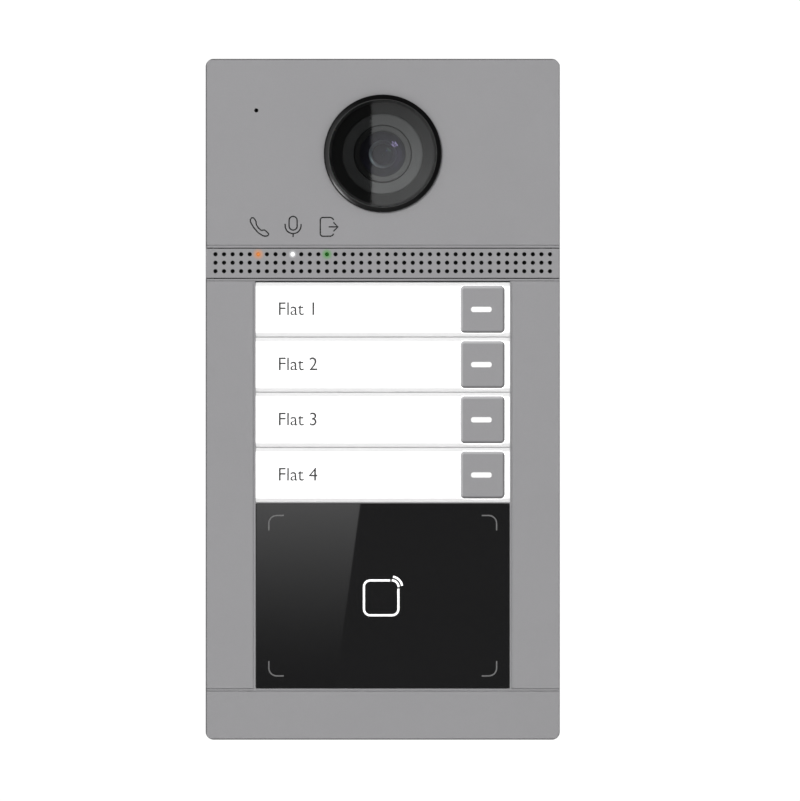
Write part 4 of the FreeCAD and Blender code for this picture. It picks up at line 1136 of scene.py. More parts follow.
class Model:
    """One mesh that is being shaped by hand tools, in millimetres about the frame's origin."""

    def __init__(self, name: str) -> None:
        """Starts with nothing selected.

        Args:
            name: The finished piece's name.
        """
        self.name = name
        if bpy.context.object is not None and bpy.context.object.mode != "OBJECT":
            bpy.ops.object.mode_set(mode="OBJECT")
        bpy.ops.object.select_all(action="DESELECT")

    @property
    def target(self) -> bpy.types.Object:
        """The object being shaped."""
        return bpy.context.view_layer.objects.active

    def edit(self) -> Model:
        """Enters edit mode with everything selected."""
        bpy.ops.object.mode_set(mode="EDIT")
        bpy.ops.mesh.select_all(action="SELECT")
        return self

    def focus(self, piece: bpy.types.Object) -> Model:
        """Makes a piece the target, selected alone.

        Args:
            piece: An object outside edit mode.

        Returns:
            The model.
        """
        bpy.ops.object.select_all(action="DESELECT")
        bpy.context.view_layer.objects.active = piece
        piece.select_set(True)
        return self

    def chain(self, points: list[Point]) -> Model:
        """Lays a chain of edges through points, starting from a plane merged to its middle.

        Args:
            points: The chain's points.

        Returns:
            The model, in edit mode.
        """
        bpy.ops.mesh.primitive_plane_add(size=MM, location=(0.0, 0.0, 0.0))
        self.target.name = self.name
        self.edit()
        bpy.ops.mesh.select_mode(type="VERT")
        bpy.ops.mesh.merge(type="CENTER")
        places = [Vector(point) * MM for point in points]
        bpy.ops.transform.translate(value=places[0])
        for before, after in zip(places, places[1:]):
            bpy.ops.mesh.extrude_region_move(TRANSFORM_OT_translate={"value": after - before})
        return self.merge()

    def merge(self) -> Model:
        """Merges doubled points and turns the faces outwards, in edit mode.

        Returns:
            The model.
        """
        bpy.ops.mesh.select_all(action="SELECT")
        bpy.ops.mesh.remove_doubles(threshold=0.002 * MM)
        bpy.ops.mesh.normals_make_consistent(inside=False)
        return self

    def lathe(self, profile: list[Flat], axis_at: Flat, steps: int) -> Model:
        """Turns a profile round an axis along Y into a closed skin.

        Args:
            profile: Its points, as radius and Y.
            axis_at: The axis, as X and Z.
            steps: How many flats go round.

        Returns:
            The model, out of edit mode.
        """
        x, z = axis_at
        self.chain([(x + radius, y, z) for radius, y in profile])
        bpy.ops.mesh.spin(steps=steps, angle=math.tau, center=(x * MM, 0.0, z * MM), axis=(0.0, 1.0, 0.0))
        return self.merge().drop()

    def drop(self) -> Model:
        """Leaves edit mode and applies the object's place.

        Returns:
            The model.
        """
        if self.target.mode != "OBJECT":
            bpy.ops.object.mode_set(mode="OBJECT")
        bpy.ops.object.transform_apply(location=True, rotation=True, scale=True)
        return self

    def smooth(self, angle: float = 35.0) -> Model:
        """Shades the piece smooth except at edges sharper than the angle."""
        bpy.ops.object.shade_smooth_by_angle(angle=math.radians(angle))
        return self

    def apply(self, kind: str, settings: dict) -> Model:
        """Adds a modifier and applies it.

        Args:
            kind: The modifier's type.
            settings: Its properties.

        Returns:
            The model.
        """
        modifier = self.target.modifiers.new(kind.title(), kind)
        for key, value in settings.items():
            setattr(modifier, key, value)
        bpy.ops.object.modifier_apply(modifier=modifier.name)
        return self

    def cut(self, piece: bpy.types.Object, tool: bpy.types.Object) -> Model:
        """Takes a tool's shape out of a piece and deletes the tool.

        Args:
            piece: The piece, which becomes the target.
            tool: The tool.

        Returns:
            The model.
        """
        self.focus(piece).apply("BOOLEAN", {"object": tool, "operation": "DIFFERENCE", "solver": "EXACT"})
        bpy.data.objects.remove(tool)
        return self

    def box(self, low: Point, high: Point, edge: float, segments: int = 3) -> Model:
        """Makes a block and rounds its edges.

        Args:
            low: Its lowest corner.
            high: Its highest corner.
            edge: How far the rounding reaches from each edge.
            segments: How many facets the rounding has.

        Returns:
            The model.
        """
        size = [(b - a) * MM for a, b in zip(low, high)]
        middle = [(a + b) / 2 * MM for a, b in zip(low, high)]
        bpy.ops.mesh.primitive_cube_add(size=1.0, location=middle, scale=size)
        self.target.name = self.name
        self.drop().edit()
        bpy.ops.mesh.bevel(offset=edge * MM, segments=segments, affect="EDGES")
        return self.merge().drop()

    def wire(self, radius: float) -> Model:
        """Gives a chain of edges a round section.

        Args:
            radius: The section's radius.

        Returns:
            The model, a closed mesh again.
        """
        bpy.ops.object.convert(target="CURVE")
        curve = self.target.data
        curve.bevel_depth = radius * MM
        curve.bevel_resolution = 2
        curve.use_fill_caps = True
        bpy.ops.object.convert(target="MESH")
        return self

    def stroke(self, points: list[Flat], front: float, width: float, closed: bool = False) -> Model:
        """Draws a printed line on a flat front.

        Args:
            points: The line's corners, as X and Z.
            front: The surface's Y.
            width: The line's width.
            closed: Whether the line ends where it starts.

        Returns:
            The flattened line.
        """
        loop = points + points[:1] if closed else points
        self.chain([(x, front, z) for x, z in loop]).drop().wire(width / 2).edit()
        bpy.ops.transform.resize(value=(1.0, 0.08, 1.0), center_override=(0.0, front * MM, 0.0))
        return self.merge().drop()

    def join(self, drawn: list[bpy.types.Object]) -> Model:
        """Joins meshes into one piece with this model's name.

        Args:
            drawn: The meshes.

        Returns:
            The model.
        """
        self.focus(drawn[0])
        for other in drawn[1:]:
            other.select_set(True)
        bpy.ops.object.join()
        self.target.name = self.name
        return self

    def done(self, slot: str, finish: Finish, stands_for: tuple[str, ...] = ()) -> bpy.types.Object:
        """Finishes the piece, which rides on the fixed body.

        Args:
            slot: The record's material slot; not used.
            finish: Its finish.
            stands_for: CAD nodes that it replaces.

        Returns:
            The piece.
        """
        piece = self.target
        finish.cover(piece)
        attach(piece, FIXED_BODY)
        if stands_for:
            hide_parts(*stands_for)
        LOG.info("%s: %d faces, %s", piece.name, len(piece.data.polygons), finish.name)
        return piece


def copied(piece: bpy.types.Object, name: str, shift: Point) -> bpy.types.Object:
    """Copies a piece, with a mesh of its own, to another place.

    Args:
        piece: The finished piece.
        name: The copy's name.
        shift: How far it moves, in millimetres.

    Returns:
        The copy.
    """
    twin = piece.copy()
    twin.data = piece.data.copy()
    twin.name = name
    bpy.context.collection.objects.link(twin)
    twin.parent = None
    Model(name).focus(twin).edit()
    bpy.ops.transform.translate(value=Vector(shift) * MM)
    bpy.ops.object.mode_set(mode="OBJECT")
    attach(twin, FIXED_BODY)
    LOG.info("%s: copy of %s", name, piece.name)
    return twin


def arc(centre: Flat, radius: float, start: float, end: float, steps: int = 8) -> list[Flat]:
    """Points along an arc, in degrees from the +X side towards +Z."""
    angles = [math.radians(start + (end - start) * step / steps) for step in range(steps + 1)]
    return [(centre[0] + radius * math.cos(a), centre[1] + radius * math.sin(a)) for a in angles]


@dataclass
class CameraUnit:
    """The round camera: trim ring, stepped baffle, retaining ring and lens glasses."""

    ring_outer: float = 15.05
    ring_inner: float = 13.7
    ring_front: float = -31.2
    ring_back: float = -27.25
    bevel_depth: float = 0.5
    baffle_outer: float = 13.55
    lens_radius: float = 5.75
    lens_apex: float = -27.0
    lens_rise: float = 1.3
    lens_back: float = -24.9
    inner_radius: float = 2.9
    inner_apex: float = -22.2
    inner_rise: float = 0.7
    inner_back: float = -20.4
    baffle_mouth: float = 12.95
    baffle_front: float = -28.3
    baffle_narrowing: float = 2.45
    baffle_depth: float = 2.35
    baffle_back: float = -24.25
    baffle_steps: int = 9
    disc_front: float = -25.2
    steps: int = 128
    lens_steps: int = 96
    dome_steps: int = 14

    def turned(self, name: str, profile: list[Flat], crisp: float) -> Model:
        """Turns a profile round the camera's axis and keeps edges sharper than crisp degrees."""
        return Model(name).lathe(profile, (0.0, CAMERA_HEIGHT), self.steps).smooth(crisp)

    def ring(self) -> None:
        """Turns the trim ring with its sloping inner face."""
        outer, inner, front = self.ring_outer, self.ring_inner, self.ring_front
        foot = front + self.bevel_depth
        profile = [(outer, self.ring_back), (outer, front + 0.35), (outer - 0.06, front + 0.14),
                   (outer - 0.2, front), (outer - 0.38, front + 0.03), (inner + 0.16, foot - 0.05),
                   (inner + 0.05, foot), (inner, foot + 0.12), (inner, self.ring_back),
                   (outer, self.ring_back)]
        self.turned("camera_trim", profile, 28.0).done("trim_black", TRIM_BLACK, ("camera_trim_ring",))

    def bead(self) -> None:
        """Turns the fine glossy edge round the window's opening, whose paler grey is a painted highlight
        line.
        """
        inner, foot = self.ring_inner, self.ring_front + self.bevel_depth
        profile = [(inner, foot + 0.15), (inner, foot - 0.01), (inner + 0.03, foot - 0.06),
                   (inner + 0.09, foot - 0.09), (inner + 0.16, foot - 0.08), (inner + 0.2, foot - 0.03),
                   (inner + 0.2, foot + 0.15), (inner, foot + 0.15)]
        self.turned("camera_trim_bead", profile, 40.0).done("trim_black", TRIM_EDGE_HIGHLIGHT)

    def baffle(self) -> None:
        """Turns the baffle: a cone with light-trap steps and a flat disc round the barrel."""
        start = (self.baffle_outer, self.baffle_back)
        profile = [start, (self.baffle_outer, self.baffle_front), (self.baffle_mouth, self.baffle_front)]
        for step in range(self.baffle_steps):
            share = (step + 1) / self.baffle_steps
            radius = self.baffle_mouth - self.baffle_narrowing * share
            depth = self.baffle_front + self.baffle_depth * share
            profile += [(radius + 0.22, depth - 0.04), (radius, depth - 0.06)]
        flat = self.disc_front
        profile += [(10.45, flat - 0.7), (10.25, flat - 0.1), (10.1, flat), (7.5, flat), (7.4, flat + 0.1),
                    (7.4, self.baffle_back), start]
        part = self.turned("camera_baffle_stepped", profile, 25.0)
        part.done("baffle_black", BAFFLE_BLACK, ("camera_baffle",))

    def retaining_ring(self) -> None:
        """Turns the thin ring that holds the front glass, on the barrel's rim."""
        profile = [(5.86, -26.1), (5.86, -26.74), (5.92, -26.79), (7.1, -26.79), (7.18, -26.74),
                   (7.2, -26.62), (6.95, -26.6), (6.1, -26.1), (5.86, -26.1)]
        self.turned("lens_retaining_ring", profile, 30.0).done("barrel_black", POLISHED_BLACK)

    def stop_ring(self) -> None:
        """Turns the bright conical stop round the pupil."""
        profile = [(2.75, -21.35), (2.8, -21.6), (2.95, -21.72), (3.45, -21.98), (3.62, -21.95),
                   (3.4, -21.45), (2.75, -21.35)]
        part = Model("lens_stop_ring").lathe(profile, (0.0, CAMERA_HEIGHT), self.lens_steps).smooth(40.0)
        part.done("barrel_black", STOP_METAL)

    def glass(self, name: str, radius: float, apex: float, rise: float, back: float, finish: Finish,
              stands_for: str) -> None:
        """Turns a domed glass.

        Args:
            name: The piece's name.
            radius: Radius of its rim.
            apex: Y of its highest point.
            rise: How far the dome stands over its rim.
            back: Y of its flat back.
            finish: Its finish.
            stands_for: The CAD node it replaces.
        """
        ball = (radius ** 2 + rise ** 2) / (2 * rise)
        spread = math.asin(radius / ball)
        profile: list[Flat] = []
        for step in range(self.dome_steps + 1):
            angle = spread * step / self.dome_steps
            profile.append((ball * math.sin(angle), apex + ball * (1 - math.cos(angle))))
        profile += [(radius, back), (0.0, back)]
        part = Model(name).lathe(profile, (0.0, CAMERA_HEIGHT), self.lens_steps).smooth(40.0)
        part.done("lens_glass", finish, (stands_for,))

    def build(self) -> None:
        """Models every piece of the camera."""
        self.ring()
        self.bead()
        self.baffle()
        self.retaining_ring()
        self.stop_ring()
        self.glass("lens_front_glass", self.lens_radius, self.lens_apex, self.lens_rise, self.lens_back,
                   LENS_GLASS, "lens_front_element")
        self.glass("lens_inner_glass", self.inner_radius, self.inner_apex, self.inner_rise, self.inner_back,
                   INNER_GLASS, "lens_inner_element")


@dataclass
class StatusLights:
    """The three light pipes in the grille, each with a domed tip."""

    tip_radius: float = 0.5
    tip_rise: float = 0.14
    tip_length: float = 0.2
    glow_reach: float = 0.9
    steps: int = 40
    foot_radius: float = 0.58
    apex: float = -29.97
    step_back: float = -28.0
    back: float = -24.8

    def build(self) -> None:
        """Models one light pipe for each lamp."""
        for lamp in STATUS_LAMPS:
            profile = [(0.0, self.apex)]
            for angle in (20, 40, 60, 80):
                bend = math.radians(angle)
                rise = self.tip_rise * (1 - math.cos(bend))
                profile.append((self.tip_radius * math.sin(bend), self.apex + rise))
            profile += [(self.tip_radius, self.apex + self.tip_length), (self.tip_radius, self.step_back),
                        (self.foot_radius, self.step_back), (self.foot_radius, self.back),
                        (0.0, self.back)]
            place = (lamp.x, LAMP_HEIGHT)
            part = Model("light_pipe_" + lamp.name).lathe(profile, place, self.steps).smooth(40.0)
            finish = LitResin(f"{lamp.name} lamp resin", lamp.colour, lamp.strength, place, self.glow_reach)
            part.done(lamp.slot, finish, ("status_light_" + lamp.name,))


@dataclass
class FrontMarks:
    """Printed symbols over the lamps, plate names, and the marks on the reader."""

    symbol_height: float = 44.05
    symbol_places: tuple[float, float, float] = (-31.5, -22.9, -13.7)
    symbol_line: float = 0.34
    text_left: float = -26.9
    text_size: float = 4.75
    reader_middle: float = -50.2
    reader_half_width: float = 29.1
    reader_half_height: float = 20.5
    corner_arm: float = 3.8
    corner_radius: float = 2.0
    corner_line: float = 0.34
    card_x: float = -0.4
    card_drop: float = 0.55
    card_half_width: float = 4.4
    card_half_height: float = 4.45
    card_corner: float = 1.6
    card_gap: float = 2.1
    card_line: float = 0.54

    def printed(self, name: str, lines: list[Line], front: float, width: float, finish: Finish,
                slot: str) -> None:
        """Draws the lines of one mark and joins them.

        Args:
            name: The mark's name.
            lines: Each line's points, and whether it is closed.
            front: The surface's Y.
            width: The lines' width.
            finish: The ink.
            slot: The material slot.
        """
        drawn: list[bpy.types.Object] = []
        for number, (points, closed) in enumerate(lines):
            drawn.append(Model(f"{name}_{number}").stroke(points, front, width, closed).target)
        Model(name).join(drawn).smooth(40.0).done(slot, finish)

    def symbols(self) -> None:
        """Draws the handset, the microphone and the way out."""
        z = self.symbol_height
        x = self.symbol_places[0]
        handset = [(x + a, z + b) for a, b in (
            (-2.0, 2.3), (-2.3, 1.9), (-2.35, 1.4), (-2.0, 0.7), (-1.35, -0.35), (-0.3, -1.5),
            (0.75, -2.2), (1.4, -2.4), (2.0, -2.3), (2.35, -2.0), (2.3, -1.7), (1.7, -1.1), (1.3, -0.8),
            (0.85, -0.85), (0.45, -0.9), (-0.2, -0.35), (-0.75, 0.45), (-0.85, 0.9), (-0.85, 1.3),
            (-1.2, 1.95), (-1.6, 2.35))]
        x = self.symbol_places[1]
        capsule = arc((x, z + 1.65), 1.03, 0, 180, 10) + arc((x, z + 0.2), 1.03, 180, 360, 10)
        cradle = [(x - 2.03, z + 0.75)] + arc((x, z + 0.3), 2.03, 180, 360, 14) + [(x + 2.03, z + 0.75)]
        stem = [(x, z - 1.73), (x, z - 2.6)]
        x = self.symbol_places[2]
        bracket = ([(x + 1.15, z + 1.75), (x + 0.85, z + 2.2)] + arc((x + 0.3, z + 1.95), 0.45, 45, 90, 3)
                   + arc((x - 1.6, z + 1.75), 0.65, 90, 180, 5) + arc((x - 1.6, z - 1.75), 0.65, 180, 270, 5)
                   + arc((x + 0.3, z - 1.95), 0.45, 270, 315, 3)
                   + [(x + 0.85, z - 2.2), (x + 1.15, z - 1.75)])
        shaft = [(x - 0.1, z), (x + 2.2, z)]
        head = [(x + 1.1, z + 1.15), (x + 2.25, z), (x + 1.1, z - 1.15)]
        signs = {"symbol_call": [(handset, True)],
                 "symbol_talk": [(capsule, True), (cradle, False), (stem, False)],
                 "symbol_unlock": [(bracket, False), (shaft, False), (head, False)]}
        for name, lines in signs.items():
            self.printed(name, lines, FASCIA_FRONT, self.symbol_line, MARK_INK, "shell_black")

    def corner_marks(self) -> None:
        """Draws the four corner marks round the reader's field."""
        lines: list[Line] = []
        for sx, sz, quarter in ((1, 1, 0), (-1, 1, 90), (-1, -1, 180), (1, -1, 270)):
            x = sx * self.reader_half_width
            z = self.reader_middle + sz * self.reader_half_height
            bend = arc((x - sx * self.corner_radius, z - sz * self.corner_radius), self.corner_radius,
                       quarter, quarter + 90, 6)
            if sx * sz < 0:
                bend.reverse()
            lines.append(([(x, z - sz * self.corner_arm)] + bend + [(x - sx * self.corner_arm, z)], False))
        self.printed("reader_corner_marks", lines, READER_FRONT, self.corner_line, CORNER_INK, "button_grey")

    def card_mark(self) -> None:
        """Draws the lit card outline with two wave arcs at its upper right corner."""
        x, z = self.card_x, self.reader_middle - self.card_drop
        half_width, half_height, corner = self.card_half_width, self.card_half_height, self.card_corner
        card = [(x + half_width, z + half_height - self.card_gap)]
        for sx, sz, start in ((1, -1, 0), (-1, -1, -90), (-1, 1, 180)):
            bend = (x + sx * (half_width - corner), z + sz * (half_height - corner))
            card += arc(bend, corner, start, start - 90, 6)
        card += [(x + half_width - self.card_gap, z + half_height)]
        origin = (x + half_width - 1.75, z + half_height - 1.75)
        inner = arc(origin, 1.8, 2, 88, 8)
        outer = arc(origin, 2.72, 8, 82, 8)
        self.printed("reader_card_mark", [(card, False), (inner, False), (outer, False)], READER_FRONT,
                     self.card_line, LIT_MARK, "bar_white")

    def plate_names(self) -> None:
        """Sets a generic flat number on each plate."""
        for number, height in enumerate(PLATE_CENTRES, start=1):
            part = Model(f"plate_text_{number}")
            bpy.ops.object.text_add(location=(self.text_left * MM, (PLATE_FRONT - 0.012) * MM, height * MM),
                                    rotation=FACING_FRONT)
            words = part.target.data
            words.body = f"Flat {number}"
            words.size = self.text_size * MM
            words.align_y = "CENTER"
            words.space_character = 0.98
            words.offset = -0.012 * MM
            words.extrude = 0.012 * MM
            bpy.ops.object.convert(target="MESH")
            part.target.name = part.name
            part.drop().done("shell_black", PLATE_INK)

    def build(self) -> None:
        """Draws every mark."""
        self.symbols()
        self.corner_marks()
        self.card_mark()
        self.plate_names()


@dataclass
class KeyMat:
    """The silicone mat behind the keys: a sheet and four domes, modelled at rest; the real domes give way
    when pressed.
    """

    key_x: float = 25.5
    low: Point = (18.5, -20.6, -26.0)
    high: Point = (32.5, -19.6, 29.35)
    crown: float = -23.4
    foot_radius: float = 4.6
    crown_radius: float = 2.6
    skin: float = 0.8
    travel: float = 0.74
    steps: int = 64

    def sheet(self) -> None:
        """Models the sheet with a round opening behind each dome."""
        part = Model("key_mat_sheet").box(self.low, self.high, 0.25)
        sheet = part.target
        for height in PLATE_CENTRES:
            cutter = Model("dome_cutter")
            place = Vector((self.key_x, self.low[1], height)) * MM
            opening = (self.foot_radius - self.skin) * MM
            bpy.ops.mesh.primitive_cylinder_add(vertices=self.steps, radius=opening, depth=4 * MM,
                                                location=place, rotation=FACING_FRONT)
            part.cut(sheet, cutter.target)
        part.smooth(30.0).done("silicone_grey", KEY_SILICONE, ("keypad_mat",))

    def dome(self, number: int, height: float) -> None:
        """Turns one hollow dome at rest; the real dome flattens as its key goes down.

        Args:
            number: The key's number.
            height: Z of the key's middle.
        """
        base, inner = self.low[1], self.crown + self.skin
        crown, foot = self.crown_radius, self.foot_radius
        profile = [(0.0, self.crown), (crown - 0.2, self.crown), (crown, self.crown + 0.15),
                   (crown + 0.08, self.crown + 0.4), (foot - 0.2, base - 0.3), (foot + 0.1, base),
                   (foot - self.skin, base), (crown - self.skin + 0.1, inner), (0.0, inner)]
        part = Model(f"key_dome_{number}").lathe(profile, (self.key_x, height), self.steps)
        dome = part.smooth(30.0).done("silicone_grey", KEY_SILICONE)
        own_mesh(dome)

    def build(self) -> None:
        """Models the sheet and its domes."""
        self.sheet()
        for number, height in enumerate(PLATE_CENTRES, start=1):
            self.dome(number, height)


@dataclass
class CableBay:
    """What shows through the plate's window: terminal screws, jack contacts and small board parts."""

    board_back: float = -14.0
    terminal_x: float = 12.6
    terminal_z: float = -35.0
    terminal_pitch: float = 3.81
    poles: int = 8
    well_floor: float = -5.6
    socket_x: float = -9.0
    contact_pitch: float = 1.02
    contact_wire: float = 0.19
    can_place: Flat = (2.9, -25.0)
    can_height: float = 5.6
    can_pitch: float = 6.5
    resistor_place: Flat = (-8.6, -33.0)
    resistor_pitch: Flat = (3.4, 2.4)
    resistor_height: float = 0.55

    def terminal_screws(self) -> None:
        """Models one slotted clamp screw and copies it to each pole."""
        first = self.terminal_z - self.terminal_pitch * (self.poles - 1) / 2
        profile = [(0.0, self.well_floor), (1.3, self.well_floor), (1.3, -4.95), (1.22, -4.8), (1.0, -4.7),
                   (0.0, -4.7)]
        part = Model("terminal_screw_1").lathe(profile, (self.terminal_x, first), 32)
        head = part.target
        slot = Model("slot_cutter").box((self.terminal_x - 1.6, -5.15, first - 0.22),
                                        (self.terminal_x + 1.6, -4.5, first + 0.22), 0.02, 1)
        part.cut(head, slot.target)
        screw = part.smooth(30.0).done("screw_zinc", CLAMP_STEEL)
        for pole in range(1, self.poles):
            copied(screw, f"terminal_screw_{pole + 1}", (0.0, 0.0, self.terminal_pitch * pole))

    def jack_contacts(self) -> None:
        """Models one sprung contact wire and copies it across the socket."""
        left = self.socket_x - self.contact_pitch * 3.5
        wire = [(left, -4.0, -26.8), (left, -4.2, -26.2), (left, -6.9, -17.6), (left, -7.0, -17.0),
                (left, -6.6, -15.2)]
        part = Model("jack_contact_1").chain(wire).drop().wire(self.contact_wire)
        contact = part.smooth(40.0).done("jack_metal", CONTACT_GOLD)
        for number in range(1, 8):
            copied(contact, f"jack_contact_{number + 1}", (self.contact_pitch * number, 0.0, 0.0))

    def capacitors(self) -> None:
        """Models one can capacitor with its crimp and base, and copies it."""
        x, z = self.can_place
        foot = self.board_back
        tall = foot + self.can_height
        profile = [(0.0, foot), (2.35, foot), (2.35, foot + 0.7), (2.15, foot + 0.85), (2.15, foot + 1.3),
                   (1.98, foot + 1.55), (2.15, foot + 1.8), (2.15, tall - 0.3), (2.02, tall - 0.08),
                   (1.85, tall), (1.75, tall - 0.08), (0.0, tall - 0.08)]
        can = Model("capacitor_1").lathe(profile, (x, z), 40).smooth(30.0).done("metal_can", CAN_STEEL)
        for number in (2, 3):
            copied(can, f"capacitor_{number}", (0.0, 0.0, -self.can_pitch * (number - 1)))

    def small_parts(self) -> None:
        """Models one chip resistor with its plated ends and copies it in two rows."""
        x, z = self.resistor_place
        low, high = self.board_back, self.board_back + self.resistor_height
        body = Model("resistor_1").box((x - 1.0, low, z - 0.6), (x + 1.0, high, z + 0.6), 0.08, 2)
        resistor = body.smooth(30.0).done("chip_black", CHIP_BLACK)
        ends: list[bpy.types.Object] = []
        for side in (-1, 1):
            middle = x + side * 0.8
            end = Model(f"resistor_end_{side}")
            end.box((middle - 0.25, low, z - 0.63), (middle + 0.25, high + 0.03, z + 0.63), 0.06, 2)
            ends.append(end.target)
        plated = Model("resistor_ends_1").join(ends).smooth(30.0).done("screw_zinc", CLAMP_STEEL)
        others = [(column, row) for column in range(2) for row in range(5)][1:]
        for number, (column, row) in enumerate(others, start=2):
            shift = (self.resistor_pitch[0] * column, 0.0, -self.resistor_pitch[1] * row)
            copied(resistor, f"resistor_{number}", shift)
            copied(plated, f"resistor_ends_{number}", shift)

    def build(self) -> None:
        """Models the bay's details."""
        self.terminal_screws()
        self.jack_contacts()
        self.capacitors()
        self.small_parts()


@dataclass
class TamperSpring:
    """The coil spring behind the tamper plunger's flange."""

    x: float = 29.0
    z: float = -45.0
    coil: float = 2.3
    wire: float = 0.22
    front: float = -10.03
    back: float = -5.57
    turns: int = 4
    travel: float = 1.56
    section_points: int = 12
    turn_steps: int = 36

    def build(self) -> None:
        """Winds the wire with a screw modifier."""
        part = Model("tamper_coil")
        length = self.back - self.front
        bpy.ops.mesh.primitive_circle_add(vertices=self.section_points, radius=self.wire * MM,
                                          location=(self.coil * MM, 0.0, 0.0), rotation=FACING_FRONT)
        part.target.name = part.name
        part.drop().apply("SCREW", {"axis": "Z", "angle": math.tau, "iterations": self.turns,
                                    "steps": self.turn_steps, "render_steps": self.turn_steps,
                                    "screw_offset": length / self.turns * MM})
        part.edit()
        bpy.ops.mesh.fill_holes(sides=self.section_points)
        part.merge()
        bpy.ops.object.mode_set(mode="OBJECT")
        part.target.rotation_euler = (-math.pi / 2, 0.0, 0.0)
        part.target.location = Vector((self.x, self.front, self.z)) * MM
        coil = part.drop().smooth(50.0).done("spring_steel", SPRING_STEEL, ("tamper_spring",))
        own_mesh(coil)


TRIM_BLACK = Moulding("satin black trim", grey(0.0028), roughness=0.20, grain=0.5, depth=0.004, shine=0.42)
# Glossy edge in a paler grey than the trim: the gloss is real, the grey is a painted highlight line round the
# window.
TRIM_EDGE_HIGHLIGHT = Moulding("trim edge with painted highlight", grey(0.055), roughness=0.22, grain=0.3, depth=0.002, shine=0.5)
BAFFLE_BLACK = LightTrap()
POLISHED_BLACK = LightTrap("polished barrel rim", disc_tone=0.0035)
BARREL_BLACK = Metal("black anodised barrel", grey(0.012), MetalWork.TURNED, 0.42, 0.6, (0.0, CAMERA_HEIGHT))
STOP_METAL = Metal("satin lens stop", grey(0.32), MetalWork.TURNED, 0.42, 1.0, (0.0, CAMERA_HEIGHT))
WINDOW_GLASS = ClearGlass("camera window glass", gain=1.25)
LENS_GLASS = ClearGlass("coated front lens", (0.86, 0.90, 0.91), (0.62, 0.50, 1.0), 1.55, 0.60, 0.03)
INNER_GLASS = ClearGlass("coated inner lens", (0.72, 0.86, 0.80), (0.75, 1.0, 0.80), 1.7, 0.55, 0.05)
# The key mat's glow is painted light.
KEY_SILICONE = Elastomer("silicone key mat", grey(0.55), Softness.SILICONE, 0.7)
MARK_INK = PrintedInk("dark symbol ink", grey(0.014))
PLATE_INK = PrintedInk("plate lettering", grey(0.012))
CORNER_INK = PrintedInk("grey reader ink", grey(0.16))
LIT_MARK = PrintedInk("lit card mark", grey(0.80), 0.8)
CLAMP_STEEL = Metal("zinc clamp screws", (0.60, 0.60, 0.58), MetalWork.TUMBLED, 0.32)
CONTACT_GOLD = Metal("gold contacts", (0.90, 0.64, 0.26), MetalWork.DRAWN, 0.22)
CAN_STEEL = Metal("capacitor can", (0.66, 0.67, 0.68), MetalWork.DRAWN, 0.28)
SPRING_STEEL = Metal("spring wire", (0.50, 0.50, 0.51), MetalWork.DRAWN, 0.25)
CHIP_BLACK = Moulding("chip epoxy", grey(0.022), roughness=0.48, grain=0.2, depth=0.01)

NODE_FINISHES: dict[str, Finish] = {
    "front_fascia": PaintedCase(),
    "speaker_grille": GrillePaint(),
    "grille_mesh": Woven("black dust mesh", grey(0.012)),
    "camera_window": WINDOW_GLASS,
    "camera_window_seal": Elastomer("black window seal", grey(0.02), Softness.RUBBER),
    "lens_barrel": BARREL_BLACK,
    "image_sensor": SensorGlass(),
    "camera_board": CircuitBoard("camera board"),
    "microphone": Woven("microphone felt", grey(0.008), 0.12),
    "microphone_boot": Elastomer("microphone boot", grey(0.025), Softness.RUBBER),
    "status_board": CircuitBoard("status board", pitch=1.0),
    "status_leds": Moulding("status lamp resin", (0.80, 0.76, 0.50), 0.3, 0.3, 0.01),
    "speaker_basket": Moulding("speaker basket", grey(0.03), 0.55, 0.25, 0.02),
    "speaker_magnet": Metal("speaker magnet", grey(0.35), MetalWork.TUMBLED, 0.4),
    "speaker_cone": Woven("pressed cone paper", grey(0.03), 0.5),
    "speaker_surround": Elastomer("cone surround", grey(0.02), Softness.RUBBER),
    "speaker_gasket": Elastomer("speaker gasket foam", grey(0.03), Softness.FOAM),
    "key_board": CircuitBoard("key board", pitch=1.0),
    "backlight_leds": Moulding("backlight lamp resin", (0.85, 0.80, 0.45), 0.3, 0.3, 0.01),
    "label_tray": GlowTray(),
    "reader_window": GlossPanel(),
    "antenna_board": CircuitBoard("antenna board", (0.012, 0.06, 0.04), 1.6),
    "antenna_coil": Metal("antenna copper", (0.86, 0.45, 0.28), MetalWork.DRAWN, 0.3),
    "ferrite_sheet": Moulding("ferrite sheet", (0.06, 0.058, 0.056), 0.6, 0.2, 0.02, 0.2),
    "main_board": CircuitBoard("main board"),
    "board_chips": CHIP_BLACK,
    "board_connectors": Moulding("cream connector nylon", (0.72, 0.66, 0.50), 0.45, 0.3, 0.02),
    "terminal_block": Moulding("green terminal nylon", (0.02, 0.22, 0.06), 0.42, 0.3, 0.02, 0.1),
    "network_jack": Metal("network jack shield", (0.60, 0.60, 0.59), MetalWork.DRAWN, 0.26),
    "reset_switch": Metal("switch can", (0.55, 0.55, 0.54), MetalWork.TUMBLED, 0.35),
    "reset_button": Moulding("switch stem", (0.45, 0.44, 0.42), 0.4, 0.25, 0.01),
    "tamper_switch": Moulding("switch body", grey(0.025), 0.5, 0.25, 0.02),
    "tamper_plunger": Moulding("black nylon plunger", grey(0.03), 0.38, 0.4, 0.01),
    "rear_shell": SparkShell(),
    "shell_seal": Elastomer("black shell seal", grey(0.016), Softness.RUBBER),
    "shell_screws": Metal("zinc shell screws", (0.58, 0.59, 0.60), MetalWork.TUMBLED, 0.3),
    "board_screws": Metal("zinc board screws", (0.60, 0.60, 0.58), MetalWork.TUMBLED, 0.3),
    "wall_plate": GalvanisedSheet(),
    "security_screw": Metal("blackened lock screw", grey(0.05), MetalWork.TUMBLED, 0.38, 0.9),
    "name_plate": OpalPlate(),
    "call_button": KeyCap(),
    "button_light_bar": LightBar(),
}


